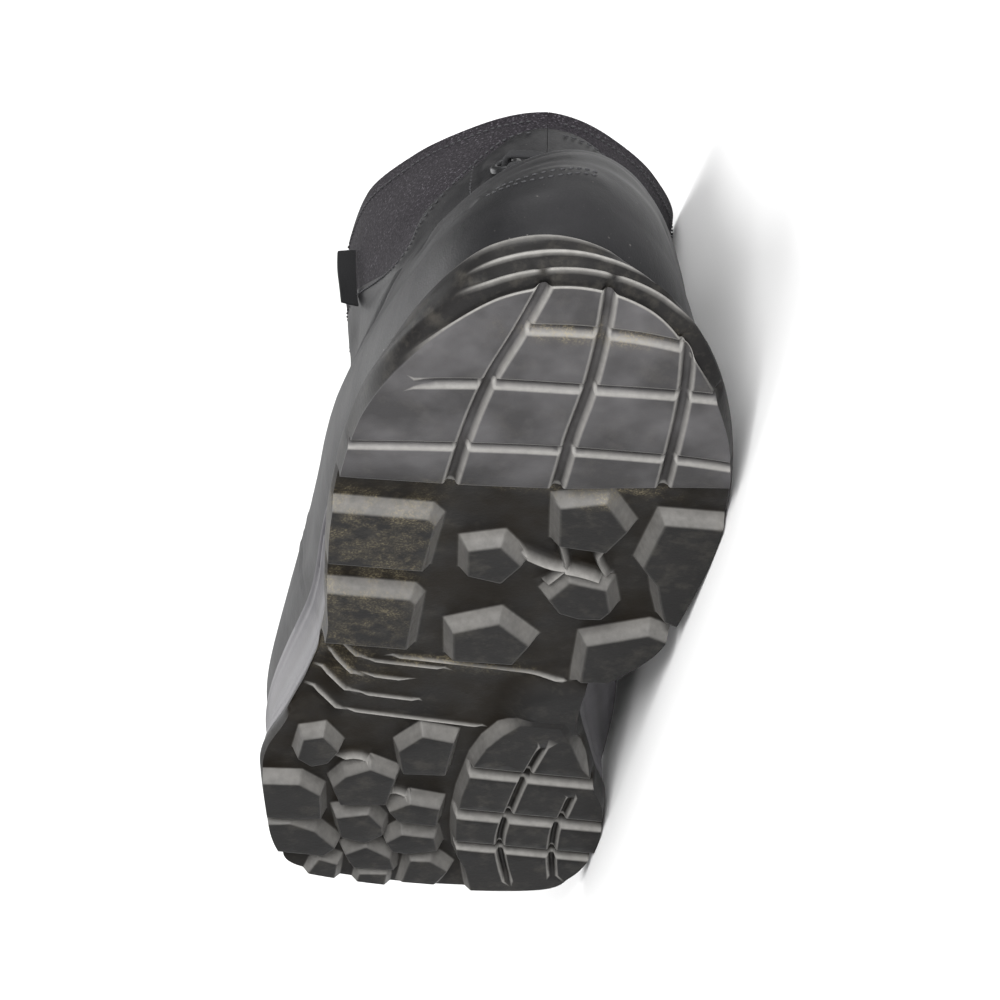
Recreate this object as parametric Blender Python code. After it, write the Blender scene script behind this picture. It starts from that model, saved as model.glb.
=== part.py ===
"""Tactical boot for the right foot, lying on its inner side.

Every shape is worked out in the boot's own frame, in millimetres: x runs forward
from the back of the heel, y towards the inner side of the foot, and z up from the
tread. An empty then lays the whole boot down and turns millimetres into metres.
"""
import math

import bmesh
import bpy
import numpy as np
from mathutils import Matrix, Vector

for item in list(bpy.data.objects):
    bpy.data.objects.remove(item, do_unlink=True)


def table(columns, *rows):
    """Rows of numbers under named columns."""
    values = np.array(rows, float)
    return {name: values[:, place] for place, name in enumerate(columns.split())}


# ---------------------------------------------------------------- driving sizes
METRE = 0.001            # one millimetre in metres
GAP = 0.35               # air between pieces that touch
SOLE_LENGTH = 297.0
TREAD_DEPTH = 5.0        # height of the lugs
PLATE = 3.6              # rubber above the tread's floor
TOE_BREAK = 205.0        # where the sole starts to lift towards the toe
TOE_SPRING = 18.6        # lift of the tread at the tip
BUMPER_START = 190.0     # where the outsole's edge starts to climb over the upper
BUMPER_TIP = 293.5
WALL = 2.5               # leather and lining together
THROAT_LEVEL = 8.0       # the lacing gap opens above this level of the last
THROAT_COLUMNS = 1       # half the gap's width, in columns
TONGUE_COLUMNS = 7
TONGUE_THICKNESS = 4.5
TONGUE_SINK = 0.6        # air between the upper's lining and the tongue
TONGUE_LEVELS = (7.4, 12.5)
INSOLE_THICKNESS = 3.5
SHAFT_LEAN = 17.0        # how far the collar hangs over towards the inner side
LEAN_START = 45.0
LEAN_END = 170.0
EYELET_COLUMN = 2.5      # columns from the middle of the throat
EYELET_LEVELS = (8.35, 8.95, 9.5, 10.05, 10.6)
EYELET_RADIUS = 4.2
EYELET_HOLE = 2.2
EYELET_THICKNESS = 0.9
LACE_RADIUS = 1.6
LACE_LIFT = 3.9          # lace's middle above the leather
LABEL_SIZE = (1.0, 4.6, 24.0)
LABEL_LEVEL = 10.4
LABEL_TURN = 1.55        # column angle of the label, in radians from the toe
LABEL_TILT = 0.3         # how far the label leans forward of the shaft's own slope, in radians
COLUMNS = 64             # points round each section
COLUMN_WARP = 0.15       # draws columns from the ends to the long sides
LOWER_RINGS = 13         # sections of the upper below the throat
THROAT_RINGS = 7         # and beside it
LIE_DOWN = -90.0         # degrees about x, sole towards -y and outer side up
ROLL = 4.69              # degrees about x, then about y, that bring sole edge
PITCH = -1.91            # and collar down to the floor together

# Plan of the sole: distance from the heel, middle line and half width.
SOLE = table(
    "x centre half",
    (0, -1, 0), (4, 0, 33.5), (12, 1, 40.3), (20, 0.7, 43.7),
    (32, -0.2, 46.2), (50, -3.2, 47.2), (60, -5.5, 45.5), (75, -6.7, 41.7),
    (92, -8.1, 38.1), (110, -7.6, 37.2), (120, -4, 41.4), (137, -0.6, 46.2),
    (160, -0.9, 49.7), (185, -1.5, 52.5), (205, -2.2, 53.2), (225, -3.5, 52.2),
    (245, -4.5, 49.1), (262, -4.7, 44.4), (277, -4.5, 37), (289, -4, 26),
    (SOLE_LENGTH, -4, 0),
)

# Top edge of the toe bumper: distance from the heel, half width, height over the plate.
BUMPER = table(
    "x half height",
    (185, 52.0, 0), (208, 51.8, 2.2), (225, 48.6, 5.0), (243, 43.5, 7.0),
    (260, 37.2, 6.5), (274, 29.5, 5.5), (286, 19.8, 4.5), (BUMPER_TIP, 0, 4.0),
)

# Middle line of the upper, which swings outward at waist and toe.
BEND = table(
    "x y",
    (0, 0), (19, 0), (56, -1.8), (113, -4), (176, -1.5), (208, -2.2), (225, -4.2),
    (243, -5.5), (260, -7.2), (274, -9), (286, -10.2), (297, -11),
)

# Top of the midsole, on which the upper and the insole stand.
FOOTBED = table(
    "x z",
    (0, 27), (40, 26.5), (90, 24), (130, 19), (170, 15.5),
    (205, 14.5), (240, 17), (270, 23.5), (290, 28.7), (297, 30.5),
)

# Sections of the last from the feather line to above the collar. Each is a loop
# between a back and a front point, with half widths at the STATIONS along it.
STATIONS = (0.05, 0.18, 0.38, 0.60, 0.80, 0.93)
LAST = table(
    "back_x back_z front_x front_z heel ankle waist joint ball toe",
    (5.0, 27, 290.0, 29.0, 39.0, 45.5, 42.5, 49.0, 43.5, 29.0),
    (3.0, 36, 291.0, 36.0, 40.0, 46.5, 44.5, 51.0, 43.5, 29.0),
    (2.5, 46, 290.0, 45.0, 39.5, 45.0, 44.5, 50.0, 41.5, 27.5),
    (3.0, 57, 285.5, 54.0, 37.5, 42.5, 44.5, 47.5, 37.5, 25.0),
    (4.5, 68, 276.0, 64.0, 34.5, 39.5, 42.5, 45.0, 34.5, 22.5),
    (6.5, 79, 262.0, 75.5, 31.5, 37.0, 41.0, 43.0, 33.5, 20.5),
    (9.0, 90, 244.0, 87.5, 28.5, 35.0, 39.5, 41.0, 32.0, 20.0),
    (11.5, 101, 221.0, 99.5, 26.5, 34.0, 38.0, 39.0, 30.0, 18.5),
    (13.5, 112, 196.0, 110.5, 25.0, 34.0, 37.5, 37.0, 28.0, 17.0),
    (14.5, 124, 172.0, 122.0, 23.0, 34.5, 38.5, 37.0, 28.0, 17.0),
    (14.5, 138, 150.0, 136.0, 22.0, 35.5, 40.7, 38.5, 29.0, 17.5),
    (13.0, 152, 134.0, 153.5, 21.5, 36.0, 42.5, 40.2, 31.0, 18.0),
    (11.0, 166, 120.0, 172.0, 21.0, 35.5, 43.0, 41.8, 32.5, 18.8),
    (9.0, 180, 114.0, 188.0, 21.0, 35.0, 43.0, 42.3, 33.5, 19.5),
)
COLLAR_LEVEL = 12.1
SOLE_PULL = 5.0          # levels over which the footbed's curve fades out
PLAN_PULL = 8.0          # levels over which the bent middle line fades out

# Tread blocks, as (x, y) corners of their flat faces. RIM adds the sole's own
# edge between two distances, on the outer (-1) or inner (+1) side.
LUGS = {
    "ball_outer_front": [(193, -28), (190, -25.5), (166, -25), ("rim", -1, 166, 193)],
    "ball_outer_rear": [(151, -26), (148.5, -24), (125, -22.5), ("rim", -1, 125, 151)],
    "ball_inner": [(200, 34.5), ("rim", 1, 200, 146), (150, 43), (160, 40),
                   (168, 38), (177, 32.5)],
    "waist_inner": [(134.5, 24.5), (142.5, 40), ("rim", 1, 138, 121), (116, 34.5),
                    (115, 26)],
    "ball_arrow": [(135.5, -12), (142.3, -0.5), (132, 9.5), (121.5, 6.5), (121, -9.5)],
    "ball_pentagon": [(178.5, -15), (182, -6.5), (173, 0.5), (163, -3.5), (165.5, -13)],
    "ball_front": [(204, 5.5), (208.5, 17.5), (195, 25.5), (183, 21.5), (184.5, 8.5)],
    "ball_middle": [(166.5, 14.5), (164, 25), (153, 28), (148.5, 26), (148, 20),
                    (150, 14.5), (156.5, 10.5)],
    "heel_front": [(71.5, -16), (80.3, -11), (78.5, -2), (61, -1.5), (60, -13)],
    "heel_outer_front": [(76, -36.5), (69, -31), (62, -33), (55.5, -33.5),
                         ("rim", -1, 55.5, 72)],
    "heel_cross": [(61, -22), (57, -14.5), (43, -14.8), (41, -27), (50, -30.5),
                   (56, -28)],
    "heel_outer_middle": [(50, -39.5), (45, -33), (33, -30.8), (31.5, -38),
                          ("rim", -1, 31.5, 48.5)],
    "heel_step": [(34, -27), (37.3, -18.5), (31, -13.8), (27, -13), (22, -17), (24, -24)],
    "heel_hook": [(39.5, -13.5), (44.5, -8.5), (43, 0), (34, 0.5), (34.5, -10)],
    "heel_wedge": [(23, -11.5), (28, -8), (27.5, 1), (21, 3), (18, -5), (18.5, -9)],
    "heel_outer_rear": [(29, -38.5), (26, -31.5), (18, -24.5), (13.5, -27),
                        ("rim", -1, 14, 27)],
    "heel_star": [(15, -21.5), (20, -16.5), (15, -9), (9, -7), (8.5, -18)],
    "heel_round": [(14.5, -3.5), (15, 2), (10.5, 7.5), (5.5, 5), (5.5, -4)],
    "heel_edge_outer": [(11.5, -28), (9.5, -22.5), (3.4, -22), (4.8, -28.5)],
    "heel_edge_middle": [(5.5, -16), (6.5, -8.5), (1.4, -8), (2.2, -16)],
}
HEEL_PAD = [(90.5, 14), (84, 10), (77, 7), (68, 5.2), (50, 4.6), (38, 5.2), (28, 6.6),
            (19, 8.6), (12, 12), (2.8, 16.5), ("rim", 1, 4.5, 56), (70, 34.5), (82, 29.5),
            (90.5, 25)]
HEEL_GROOVES = table(
    "x width",
    (63.3, 5.0), (41.2, 5.0), (24.6, 4.0),
)
HEEL_GROOVE_DEPTH = 4.0
HEEL_GROOVE_SPAN = (-2.0, 60.0)
TOE_PAD = table(
    "x_outer x_inner",
    (211, 222), (217, 225), (225, 229), (234, 236), (244, 244), (253, 253),
    (261, 261), (268, 268), (274, 274), (279, 279), (282.5, 282.5),
)
TOE_PAD_BOW = 2.5        # the rear edge's bend towards the heel, in the middle
TOE_PAD_INSET = 13.0     # from the bumper's face back to the flat tread, at the tip
TOE_GROOVE_DEPTH = 2.2
TOE_GROOVE_WIDTH = 3.0
TOE_GROOVES_ALONG = {
    "outer": [(205, -25.3), (230, -25), (256, -22.3), (275, -17), (288, -13)],
    "middle": [(212, 3), (233, 3), (257, 4.6), (275, 5), (290, 4.5)],
    "inner": [(218, 31), (233, 30.6), (257, 30), (276, 28)],
}
TOE_GROOVES_ACROSS = {
    "rear": [(226, -58), (229.3, -27), (231.2, 0), (231.5, 30), (229, 55)],
    "middle": [(253.6, -38), (255.5, -22), (256.3, 0), (257, 30), (256, 50)],
    "front": [(275.5, -18), (276.6, 0), (276, 15), (274.5, 26)],
}


# ------------------------------------------------------------ curves and sizes
def smooth(places, values, at):
    """Monotone cubic through the values, read at any places."""
    places, values = np.asarray(places, float), np.asarray(values, float)
    at = np.clip(np.asarray(at, float), places[0], places[-1])
    step = np.diff(places)
    slope = np.diff(values) / step
    tangent = np.concatenate([slope[:1], (slope[:-1] + slope[1:]) / 2, slope[-1:]])
    flat = slope[:-1] * slope[1:] <= 0
    tangent[1:-1][flat] = 0
    limit = 3 * np.minimum(np.abs(slope[:-1]), np.abs(slope[1:]))
    tangent[1:-1] = np.clip(tangent[1:-1], -limit, limit)
    cell = np.clip(np.searchsorted(places, at, side="right") - 1, 0, len(step) - 1)
    t = (at - places[cell]) / step[cell]
    start, end = values[cell], values[cell + 1]
    pull = step[cell] * (t * (1 - t) ** 2 * tangent[cell] - t ** 2 * (1 - t) * tangent[cell + 1])
    return start + (end - start) * t * t * (3 - 2 * t) + pull


def ease(value):
    """Soft step from 0 to 1."""
    value = np.clip(value, 0, 1)
    return value * value * (3 - 2 * value)


def sole_centre(x):
    return smooth(SOLE["x"], SOLE["centre"], x)


def sole_half(x):
    """Half width of the sole; the ends are round because squares are joined."""
    return np.sqrt(np.maximum(smooth(SOLE["x"], SOLE["half"] ** 2, x), 0))


def tread_z(x):
    """Height of the lugs' faces: flat under heel and ball, lifted at the toe."""
    x = np.asarray(x, float)
    return TOE_SPRING * (np.maximum(x - TOE_BREAK, 0) / (SOLE_LENGTH - TOE_BREAK)) ** 2


def plate_z(x):
    return tread_z(x) + TREAD_DEPTH + PLATE


def footbed_z(x):
    return smooth(FOOTBED["x"], FOOTBED["z"], x)


def lip_z(x):
    """Top edge of the outsole, which climbs into the toe bumper."""
    rise = smooth(BUMPER["x"], BUMPER["height"], x) * ease((np.asarray(x) - BUMPER_START) / 20)
    return plate_z(x) + rise


def bend(x):
    return smooth(BEND["x"], BEND["y"], x)


TURNS = np.arange(COLUMNS) * 2 * math.pi / COLUMNS


def along(turn):
    """Place between back (0) and front (1) of the column at an angle."""
    return 0.5 + 0.5 * np.cos(turn + COLUMN_WARP * np.sin(2 * turn))


def side(turn):
    """Which side of the foot a column is on: +1 is the inner side."""
    return np.where(np.mod(turn, 2 * math.pi) < math.pi, 1.0, -1.0)


def sole_loop(inset):
    """Points round the sole's edge, drawn in by an amount for each column."""
    x = along(TURNS) * SOLE_LENGTH
    y = sole_centre(x) + side(TURNS) * sole_half(x)
    return push_in(np.column_stack([x, y]), inset)


def bumper_loop():
    """Points round the outsole's top edge, where it laps the upper's toe."""
    edge = sole_loop(0.6)
    lapped = ease((edge[:, 0] - BUMPER["x"][0]) / 25)[:, None]
    x = along(TURNS) * SOLE_LENGTH
    x = x - (SOLE_LENGTH - BUMPER_TIP) * ease((x - BUMPER["x"][0]) / (SOLE_LENGTH - BUMPER["x"][0]))
    half = np.sqrt(np.maximum(smooth(BUMPER["x"], BUMPER["half"] ** 2, x), 0))
    return edge * (1 - lapped) + np.column_stack([x, bend(x) + side(TURNS) * half]) * lapped


def push_in(loop, amount):
    """Move each point of a plan loop towards its inside."""
    run = np.roll(loop, -1, axis=0) - np.roll(loop, 1, axis=0)
    run /= np.linalg.norm(run, axis=1)[:, None]
    inward = np.column_stack([-run[:, 1], run[:, 0]])
    return loop + inward * np.broadcast_to(amount, len(loop))[:, None]


def last_point(level, turn):
    """A point on the upper's outer face, from its level and column angle."""
    rows = np.arange(len(LAST["heel"]))
    read = {name: float(smooth(rows, LAST[name], level)) for name in LAST}
    place = along(turn)
    x = read["back_x"] + (read["front_x"] - read["back_x"]) * place
    z = read["back_z"] + (read["front_z"] - read["back_z"]) * place
    feather = LAST["back_z"][0] + (LAST["front_z"][0] - LAST["back_z"][0]) * place
    z = z + max(0.0, 1 - level / SOLE_PULL) ** 2 * (footbed_z(x) + GAP - feather)
    widths = [0] + [read[name] for name in ("heel", "ankle", "waist", "joint", "ball", "toe")] + [0]
    half = np.sqrt(smooth((0,) + STATIONS + (1,), np.square(widths), place))
    rise = np.maximum(z - LEAN_START, 0) / (LEAN_END - LEAN_START)
    middle = bend(x) * max(0.0, 1 - level / PLAN_PULL) + SHAFT_LEAN * rise
    y = middle + side(turn) * half
    return np.stack([x, y, z], axis=-1)


def last_grid(levels, turns):
    return np.array([last_point(level, turns) for level in levels])


def outward(grid, wrap):
    """Unit normals of a grid of points, pointing away from the foot."""
    if wrap:
        across = np.roll(grid, -1, axis=1) - np.roll(grid, 1, axis=1)
    else:
        across = np.gradient(grid, axis=1)
    normal = np.cross(across, np.gradient(grid, axis=0))
    return normal / np.linalg.norm(normal, axis=2)[:, :, None]


def last_frame(level, turn):
    """Point, normal and upward direction of the upper's face at one place."""
    step = 0.02
    grid = last_grid((level - step, level, level + step), np.array([turn - step, turn, turn + step]))
    normal = outward(grid, False)[1, 1]
    up = grid[2, 1] - grid[0, 1]
    return grid[1, 1], normal, up / np.linalg.norm(up)


# --------------------------------------------------------------- building solids
FRAME = bpy.data.objects.new("boot_frame", None)
bpy.context.scene.collection.objects.link(FRAME)


def material(name, colour, roughness):
    finish = bpy.data.materials.new(name)
    finish.use_nodes = True
    shader = finish.node_tree.nodes["Principled BSDF"]
    shader.inputs["Base Color"].default_value = (*colour, 1)
    shader.inputs["Roughness"].default_value = roughness
    finish.diffuse_color = (*colour, 1)
    return finish


def add_object(name, mesh, finish, sharp=35):
    """Put a mesh in the scene, in the boot's frame."""
    thing = bpy.data.objects.new(name, mesh)
    bpy.context.scene.collection.objects.link(thing)
    thing.parent = FRAME
    if finish is not None and not mesh.materials:
        mesh.materials.append(finish)
    mesh.shade_smooth()
    mesh.set_sharp_from_angle(angle=math.radians(sharp))
    return thing


def mesh_from(name, points, faces):
    """A mesh with its faces turned outward."""
    model = bmesh.new()
    verts = [model.verts.new(point) for point in points]
    for face in faces:
        model.faces.new([verts[corner] for corner in face])
    bmesh.ops.recalc_face_normals(model, faces=model.faces)
    mesh = bpy.data.meshes.new(name)
    model.to_mesh(mesh)
    model.free()
    return mesh


def rungs(start, count):
    """Faces across a loop whose points face each other, like a ladder's rungs."""
    faces = []
    for step in range(count // 2):
        corners = [step, step + 1, count - step - 1, (count - step) % count]
        faces.append([start + corner for corner in dict.fromkeys(corners)])
    return faces


def loft(name, loops):
    """A closed solid through loops of equal count, capped by rungs at both ends."""
    count = len(loops[0])
    faces = rungs(0, count) + rungs((len(loops) - 1) * count, count)
    for ring in range(len(loops) - 1):
        for step in range(count):
            after = (step + 1) % count
            low, high = ring * count, (ring + 1) * count
            faces.append((low + step, low + after, high + after, high + step))
    return mesh_from(name, np.concatenate(loops), faces)


def shell(name, outer, inner, present, wrap):
    """A wall between two grids, where present says which cells exist."""
    rings, count = outer.shape[:2]
    offset = rings * count
    cells_round = count if wrap else count - 1
    faces = []

    def exists(ring, step):
        if not 0 <= ring < rings - 1:
            return False
        if not wrap and not 0 <= step < cells_round:
            return False
        return bool(present[ring, step % count])

    for ring in range(rings - 1):
        for step in range(cells_round):
            if not exists(ring, step):
                continue
            after = (step + 1) % count
            a, b = ring * count + step, ring * count + after
            c, d = (ring + 1) * count + after, (ring + 1) * count + step
            faces.append((a, b, c, d))
            faces.append((d + offset, c + offset, b + offset, a + offset))
            edges = (((ring - 1, step), a, b), ((ring, step + 1), b, c),
                     ((ring + 1, step), c, d), ((ring, step - 1), d, a))
            for neighbour, first, second in edges:
                if not exists(*neighbour):
                    faces.append((second, first, first + offset, second + offset))
    points = np.concatenate([outer.reshape(-1, 3), inner.reshape(-1, 3)])
    used = sorted({corner for face in faces for corner in face})
    renumber = {old: new for new, old in enumerate(used)}
    faces = [tuple(renumber[corner] for corner in face) for face in faces]
    return mesh_from(name, points[used], faces)


def raised(plan, z):
    """Give a plan loop its heights."""
    return np.column_stack([plan, np.broadcast_to(z, len(plan))])


def cut_with(thing, name, mesh, operation):
    """Add or take away a hidden shape."""
    tool = bpy.data.objects.new(name, mesh)
    bpy.context.scene.collection.objects.link(tool)
    tool.parent = FRAME
    tool.hide_render = True
    tool.display_type = "WIRE"
    change = thing.modifiers.new(name, "BOOLEAN")
    change.operation = operation
    change.solver = "EXACT"
    change.use_self = operation == "UNION"
    change.object = tool


# -------------------------------------------------------------------- the sole
def sole_rim(where, start, end):
    """Points on the sole's edge between two distances from the heel."""
    count = max(2, int(abs(end - start) / 9) + 1)
    x = np.linspace(start, end, count)
    return [(float(a), float(sole_centre(a) + where * (sole_half(a) - 1.7))) for a in x]


def outline(corners):
    """Corners of a tread block, with its stretches of the sole's edge filled in."""
    points = []
    for corner in corners:
        points += sole_rim(*corner[1:]) if corner[0] == "rim" else [corner]
    return np.array(points, float)


def grown(points, amount):
    """Push a polygon's corners outward, but keep them inside the sole's edge."""
    ahead = np.roll(points, -1, axis=0) - points
    area = np.sum(points[:, 0] * np.roll(points[:, 1], -1) - np.roll(points[:, 0], -1) * points[:, 1])
    ahead /= np.linalg.norm(ahead, axis=1)[:, None]
    normal = np.column_stack([ahead[:, 1], -ahead[:, 0]]) * np.sign(area)
    bisector = normal + np.roll(normal, 1, axis=0)
    bisector /= np.maximum(np.sum(bisector * bisector, axis=1), 1.0)[:, None] / 2
    moved = points + bisector * amount
    reach = sole_half(moved[:, 0]) - 0.9
    centre = sole_centre(moved[:, 0])
    moved[:, 1] = np.clip(moved[:, 1], centre - reach, centre + reach)
    return moved


def block(corners, draft=1.0):
    """Points and faces of one tread block, rooted in the sole's plate."""
    face = outline(corners)
    root = grown(face, draft)
    count = len(face)
    top = np.column_stack([face, tread_z(face[:, 0])])
    base = np.column_stack([root, tread_z(root[:, 0]) + TREAD_DEPTH + 1.0])
    faces = [tuple(range(count)), tuple(range(2 * count - 1, count - 1, -1))]
    faces += [(k, (k + 1) % count, count + (k + 1) % count, count + k) for k in range(count)]
    return np.concatenate([top, base]), faces


def joined(name, pieces):
    """One mesh from several separate closed shapes."""
    points, faces = [], []
    for piece_points, piece_faces in pieces:
        start = sum(len(group) for group in points)
        points.append(piece_points)
        faces += [tuple(start + corner for corner in face) for face in piece_faces]
    return mesh_from(name, np.concatenate(points), faces)


def toe_pad():
    """The low ribbed zone under the toe, which follows the toe's lift."""
    rows = len(TOE_PAD["x_outer"])
    ends = np.stack([TOE_PAD["x_outer"], TOE_PAD["x_inner"]], axis=1)
    levels = []
    for extra, drop in ((0.0, 0.0), (9.0, TREAD_DEPTH + 1.0)):
        lines = []
        for row in range(rows):
            x = ends[row] + extra * ease((ends[row] - 262) / 30)
            inset = TOE_PAD_INSET * ease((x - 232) / 60) * (1 - 0.72 * (drop > 0)) + 0.9
            reach = np.maximum(sole_half(x) - inset, 2.0)
            y = sole_centre(x) + np.array([-1, 1]) * reach
            bow = TOE_PAD_BOW * max(0.0, 1 - row / 3)
            middle = (x.mean() - bow, y.mean())
            line = np.array([(x[0], y[0]), middle, (x[1], y[1])])
            lines.append(np.column_stack([line, tread_z(line[:, 0]) + drop]))
        levels.append(np.array(lines))
    wall = np.ones((rows, 3), bool)
    return shell("toe_pad", levels[0], levels[1], wall, False)


def groove(path, width, depth, top=-3.0):
    """A cutter along a plan path, its floor at a depth below the tread."""
    path = np.array(path, float)
    parts = np.arange(len(path))
    fine = np.linspace(0, parts[-1], 2 * len(path) - 1)
    line = np.column_stack([smooth(parts, path[:, 0], fine), smooth(parts, path[:, 1], fine)])
    run = np.gradient(line, axis=0)
    run /= np.linalg.norm(run, axis=1)[:, None]
    across = np.column_stack([-run[:, 1], run[:, 0]]) * width / 2
    points, faces = [], []
    for place, (centre, arm) in enumerate(zip(line, across)):
        for offset, z in ((arm * 1.25, top), (-arm * 1.25, top), (-arm * 0.8, depth), (arm * 0.8, depth)):
            x, y = centre + offset
            points.append((x, y, float(tread_z(centre[0])) + z))
        if place:
            last = 4 * place
            faces += [(last + k, last + (k + 1) % 4, last - 4 + (k + 1) % 4, last - 4 + k) for k in range(4)]
    faces += [(0, 1, 2, 3), tuple(4 * (len(line) - 1) + k for k in (3, 2, 1, 0))]
    return np.array(points), faces


def midsole_loops():
    """Plan loops of the midsole's bottom and top, and how far each column is covered."""
    edge = sole_loop(0.0)
    feather = last_point(0.0, TURNS)[:, :2]
    covered = ease((edge[:, 0] - 170) / 45)
    low = push_in(edge, 0.8) * (1 - covered)[:, None] + push_in(feather, 0.4) * covered[:, None]
    top = push_in(feather, -1.8 * (1 - covered))
    return low, top, covered


def inner_form(z):
    """Plan loop of what the outsole holds: midsole below, upper above, at a height."""
    low, top, _ = midsole_loops()
    base, feather = plate_z(low[:, 0]), footbed_z(top[:, 0])
    share = np.clip((z - base) / (feather - base), 0, 1)[:, None]
    plan = low + (top - low) * share
    levels = np.linspace(0, 3, 13)
    grid = last_grid(levels, TURNS)
    for column in range(COLUMNS):
        if z[column] > feather[column]:
            heights = grid[:, column, 2]
            plan[column] = [np.interp(z[column], heights, grid[:, column, axis]) for axis in (0, 1)]
    return plan


def build_outsole(finish):
    edge = sole_loop(0.0)
    x = edge[:, 0]
    toe = ease((x - 235) / 55)
    lip = ease((x - 178) / 24)[:, None]
    bumper = bumper_loop()
    top = lip_z(bumper[:, 0])
    foot = push_in(edge, 0.8 + 6.2 * toe)
    foot_z = tread_z(foot[:, 0]) + TREAD_DEPTH * (1 - toe) + 0.3
    belly = push_in(edge, 2.2 * toe)
    belly_z = foot_z + 1.2 + 2.8 * toe
    middle = (belly + bumper) / 2
    middle_z = (belly_z + top) / 2
    loops = [raised(foot, foot_z), raised(belly, belly_z),
             raised(push_in(middle, -1.0 * toe), middle_z), raised(bumper, top)]
    low, _, _ = midsole_loops()
    base = plate_z(low[:, 0])
    for share, inset in ((1.0, 2.0), (0.5, 2.8), (0.0, 3.6)):
        z = base + (top - base) * share
        held = push_in(inner_form(z), -(GAP + 0.1))
        loops.append(raised(held * lip + push_in(edge, inset) * (1 - lip), z))
    outsole = add_object("outsole", loft("outsole", loops), finish)
    cut_with(outsole, "toe_pad", toe_pad(), "UNION")
    blocks = [block(corners) for corners in LUGS.values()] + [block(HEEL_PAD)]
    cut_with(outsole, "tread_blocks", joined("tread_blocks", blocks), "UNION")
    depth = TOE_GROOVE_DEPTH
    rows = [groove(path, TOE_GROOVE_WIDTH + 0.8, depth) for path in TOE_GROOVES_ACROSS.values()]
    for x_groove, width in zip(HEEL_GROOVES["x"], HEEL_GROOVES["width"]):
        path = [(x_groove, place) for place in HEEL_GROOVE_SPAN]
        rows.append(groove(path, width, HEEL_GROOVE_DEPTH))
    cut_with(outsole, "grooves_across", joined("grooves_across", rows), "DIFFERENCE")
    lines = [groove(path, TOE_GROOVE_WIDTH, depth) for path in TOE_GROOVES_ALONG.values()]
    cut_with(outsole, "grooves_along", joined("grooves_along", lines), "DIFFERENCE")
    return outsole


def build_midsole(finish):
    low, top, covered = midsole_loops()
    waist = push_in((low + top) / 2, 1.2 * (1 - covered))
    z_low, z_top = plate_z(low[:, 0]) + GAP, footbed_z(top[:, 0])
    loops = [raised(low, z_low), raised(waist, (z_low + z_top) / 2), raised(top, z_top)]
    return add_object("midsole", loft("midsole", loops), finish)


def build_insole(finish):
    rim = push_in(last_point(0.0, TURNS)[:, :2], WALL + 0.6)
    z = footbed_z(rim[:, 0]) + GAP
    crown = push_in(rim, 0.8)
    loops = [raised(rim, z), raised(rim, z + INSOLE_THICKNESS - 0.8),
             raised(crown, z + INSOLE_THICKNESS)]
    return add_object("insole", loft("insole", loops), finish)


# ------------------------------------------------------------------- the upper
def build_upper(finish):
    lower = np.linspace(0, THROAT_LEVEL, LOWER_RINGS)
    beside = np.linspace(THROAT_LEVEL, COLLAR_LEVEL, THROAT_RINGS)
    levels = np.concatenate([lower, beside[1:]])
    outer = last_grid(levels, TURNS)
    inner = outer - outward(outer, True) * WALL
    inner[0, :, 2] = outer[0, :, 2]
    present = np.ones((len(levels), COLUMNS), bool)
    open_rings = slice(LOWER_RINGS - 1, None)
    present[open_rings, :THROAT_COLUMNS] = False
    present[open_rings, COLUMNS - THROAT_COLUMNS:] = False
    upper = add_object("upper", shell("upper", outer, inner, present, True), finish, 50)
    holes = [drum(EYELET_HOLE + 0.1, 8.0, *last_frame(level, where * eyelet_turn())[:2])
             for level in EYELET_LEVELS for where in (-1, 1)]
    cut_with(upper, "eyelet_holes", joined("eyelet_holes", holes), "DIFFERENCE")
    return upper


def build_tongue(finish):
    """A padded sheet just under the upper's lining, highest in its middle."""
    spread = np.arange(-TONGUE_COLUMNS, TONGUE_COLUMNS + 1)
    turns = spread * 2 * math.pi / COLUMNS
    low, high = TONGUE_LEVELS
    grid = []
    for share in np.linspace(0, 1, 13):
        tops = high - 0.45 * (spread / TONGUE_COLUMNS) ** 2
        grid.append([last_point(low + (top - low) * share, turn) for top, turn in zip(tops, turns)])
    grid = np.array(grid)
    normal = outward(grid, False)
    edge = 1 - 0.7 * np.abs(spread / TONGUE_COLUMNS) ** 3
    outer = grid - normal * (WALL + TONGUE_SINK)
    inner = outer - normal * (TONGUE_THICKNESS * edge)[None, :, None]
    present = np.ones(outer.shape[:2], bool)
    return add_object("tongue", shell("tongue", outer, inner, present, False), finish, 50)


# --------------------------------------------------------- laces and small trim
def eyelet_turn():
    return EYELET_COLUMN * 2 * math.pi / COLUMNS


def drum(radius, length, centre, axis, sides=8):
    """Points and faces of a short cylinder round an axis."""
    axis = np.asarray(axis, float)
    first = np.cross(axis, (1.0, 0.0, 0.3))
    first /= np.linalg.norm(first)
    second = np.cross(axis, first)
    angles = np.arange(sides) * 2 * math.pi / sides
    circle = radius * (np.cos(angles)[:, None] * first + np.sin(angles)[:, None] * second)
    points = np.concatenate([centre + axis * length / 2 + circle, centre - axis * length / 2 + circle])
    faces = [tuple(range(sides)), tuple(range(2 * sides - 1, sides - 1, -1))]
    faces += [(k, sides + k, sides + (k + 1) % sides, (k + 1) % sides) for k in range(sides)]
    return points, faces


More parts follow.
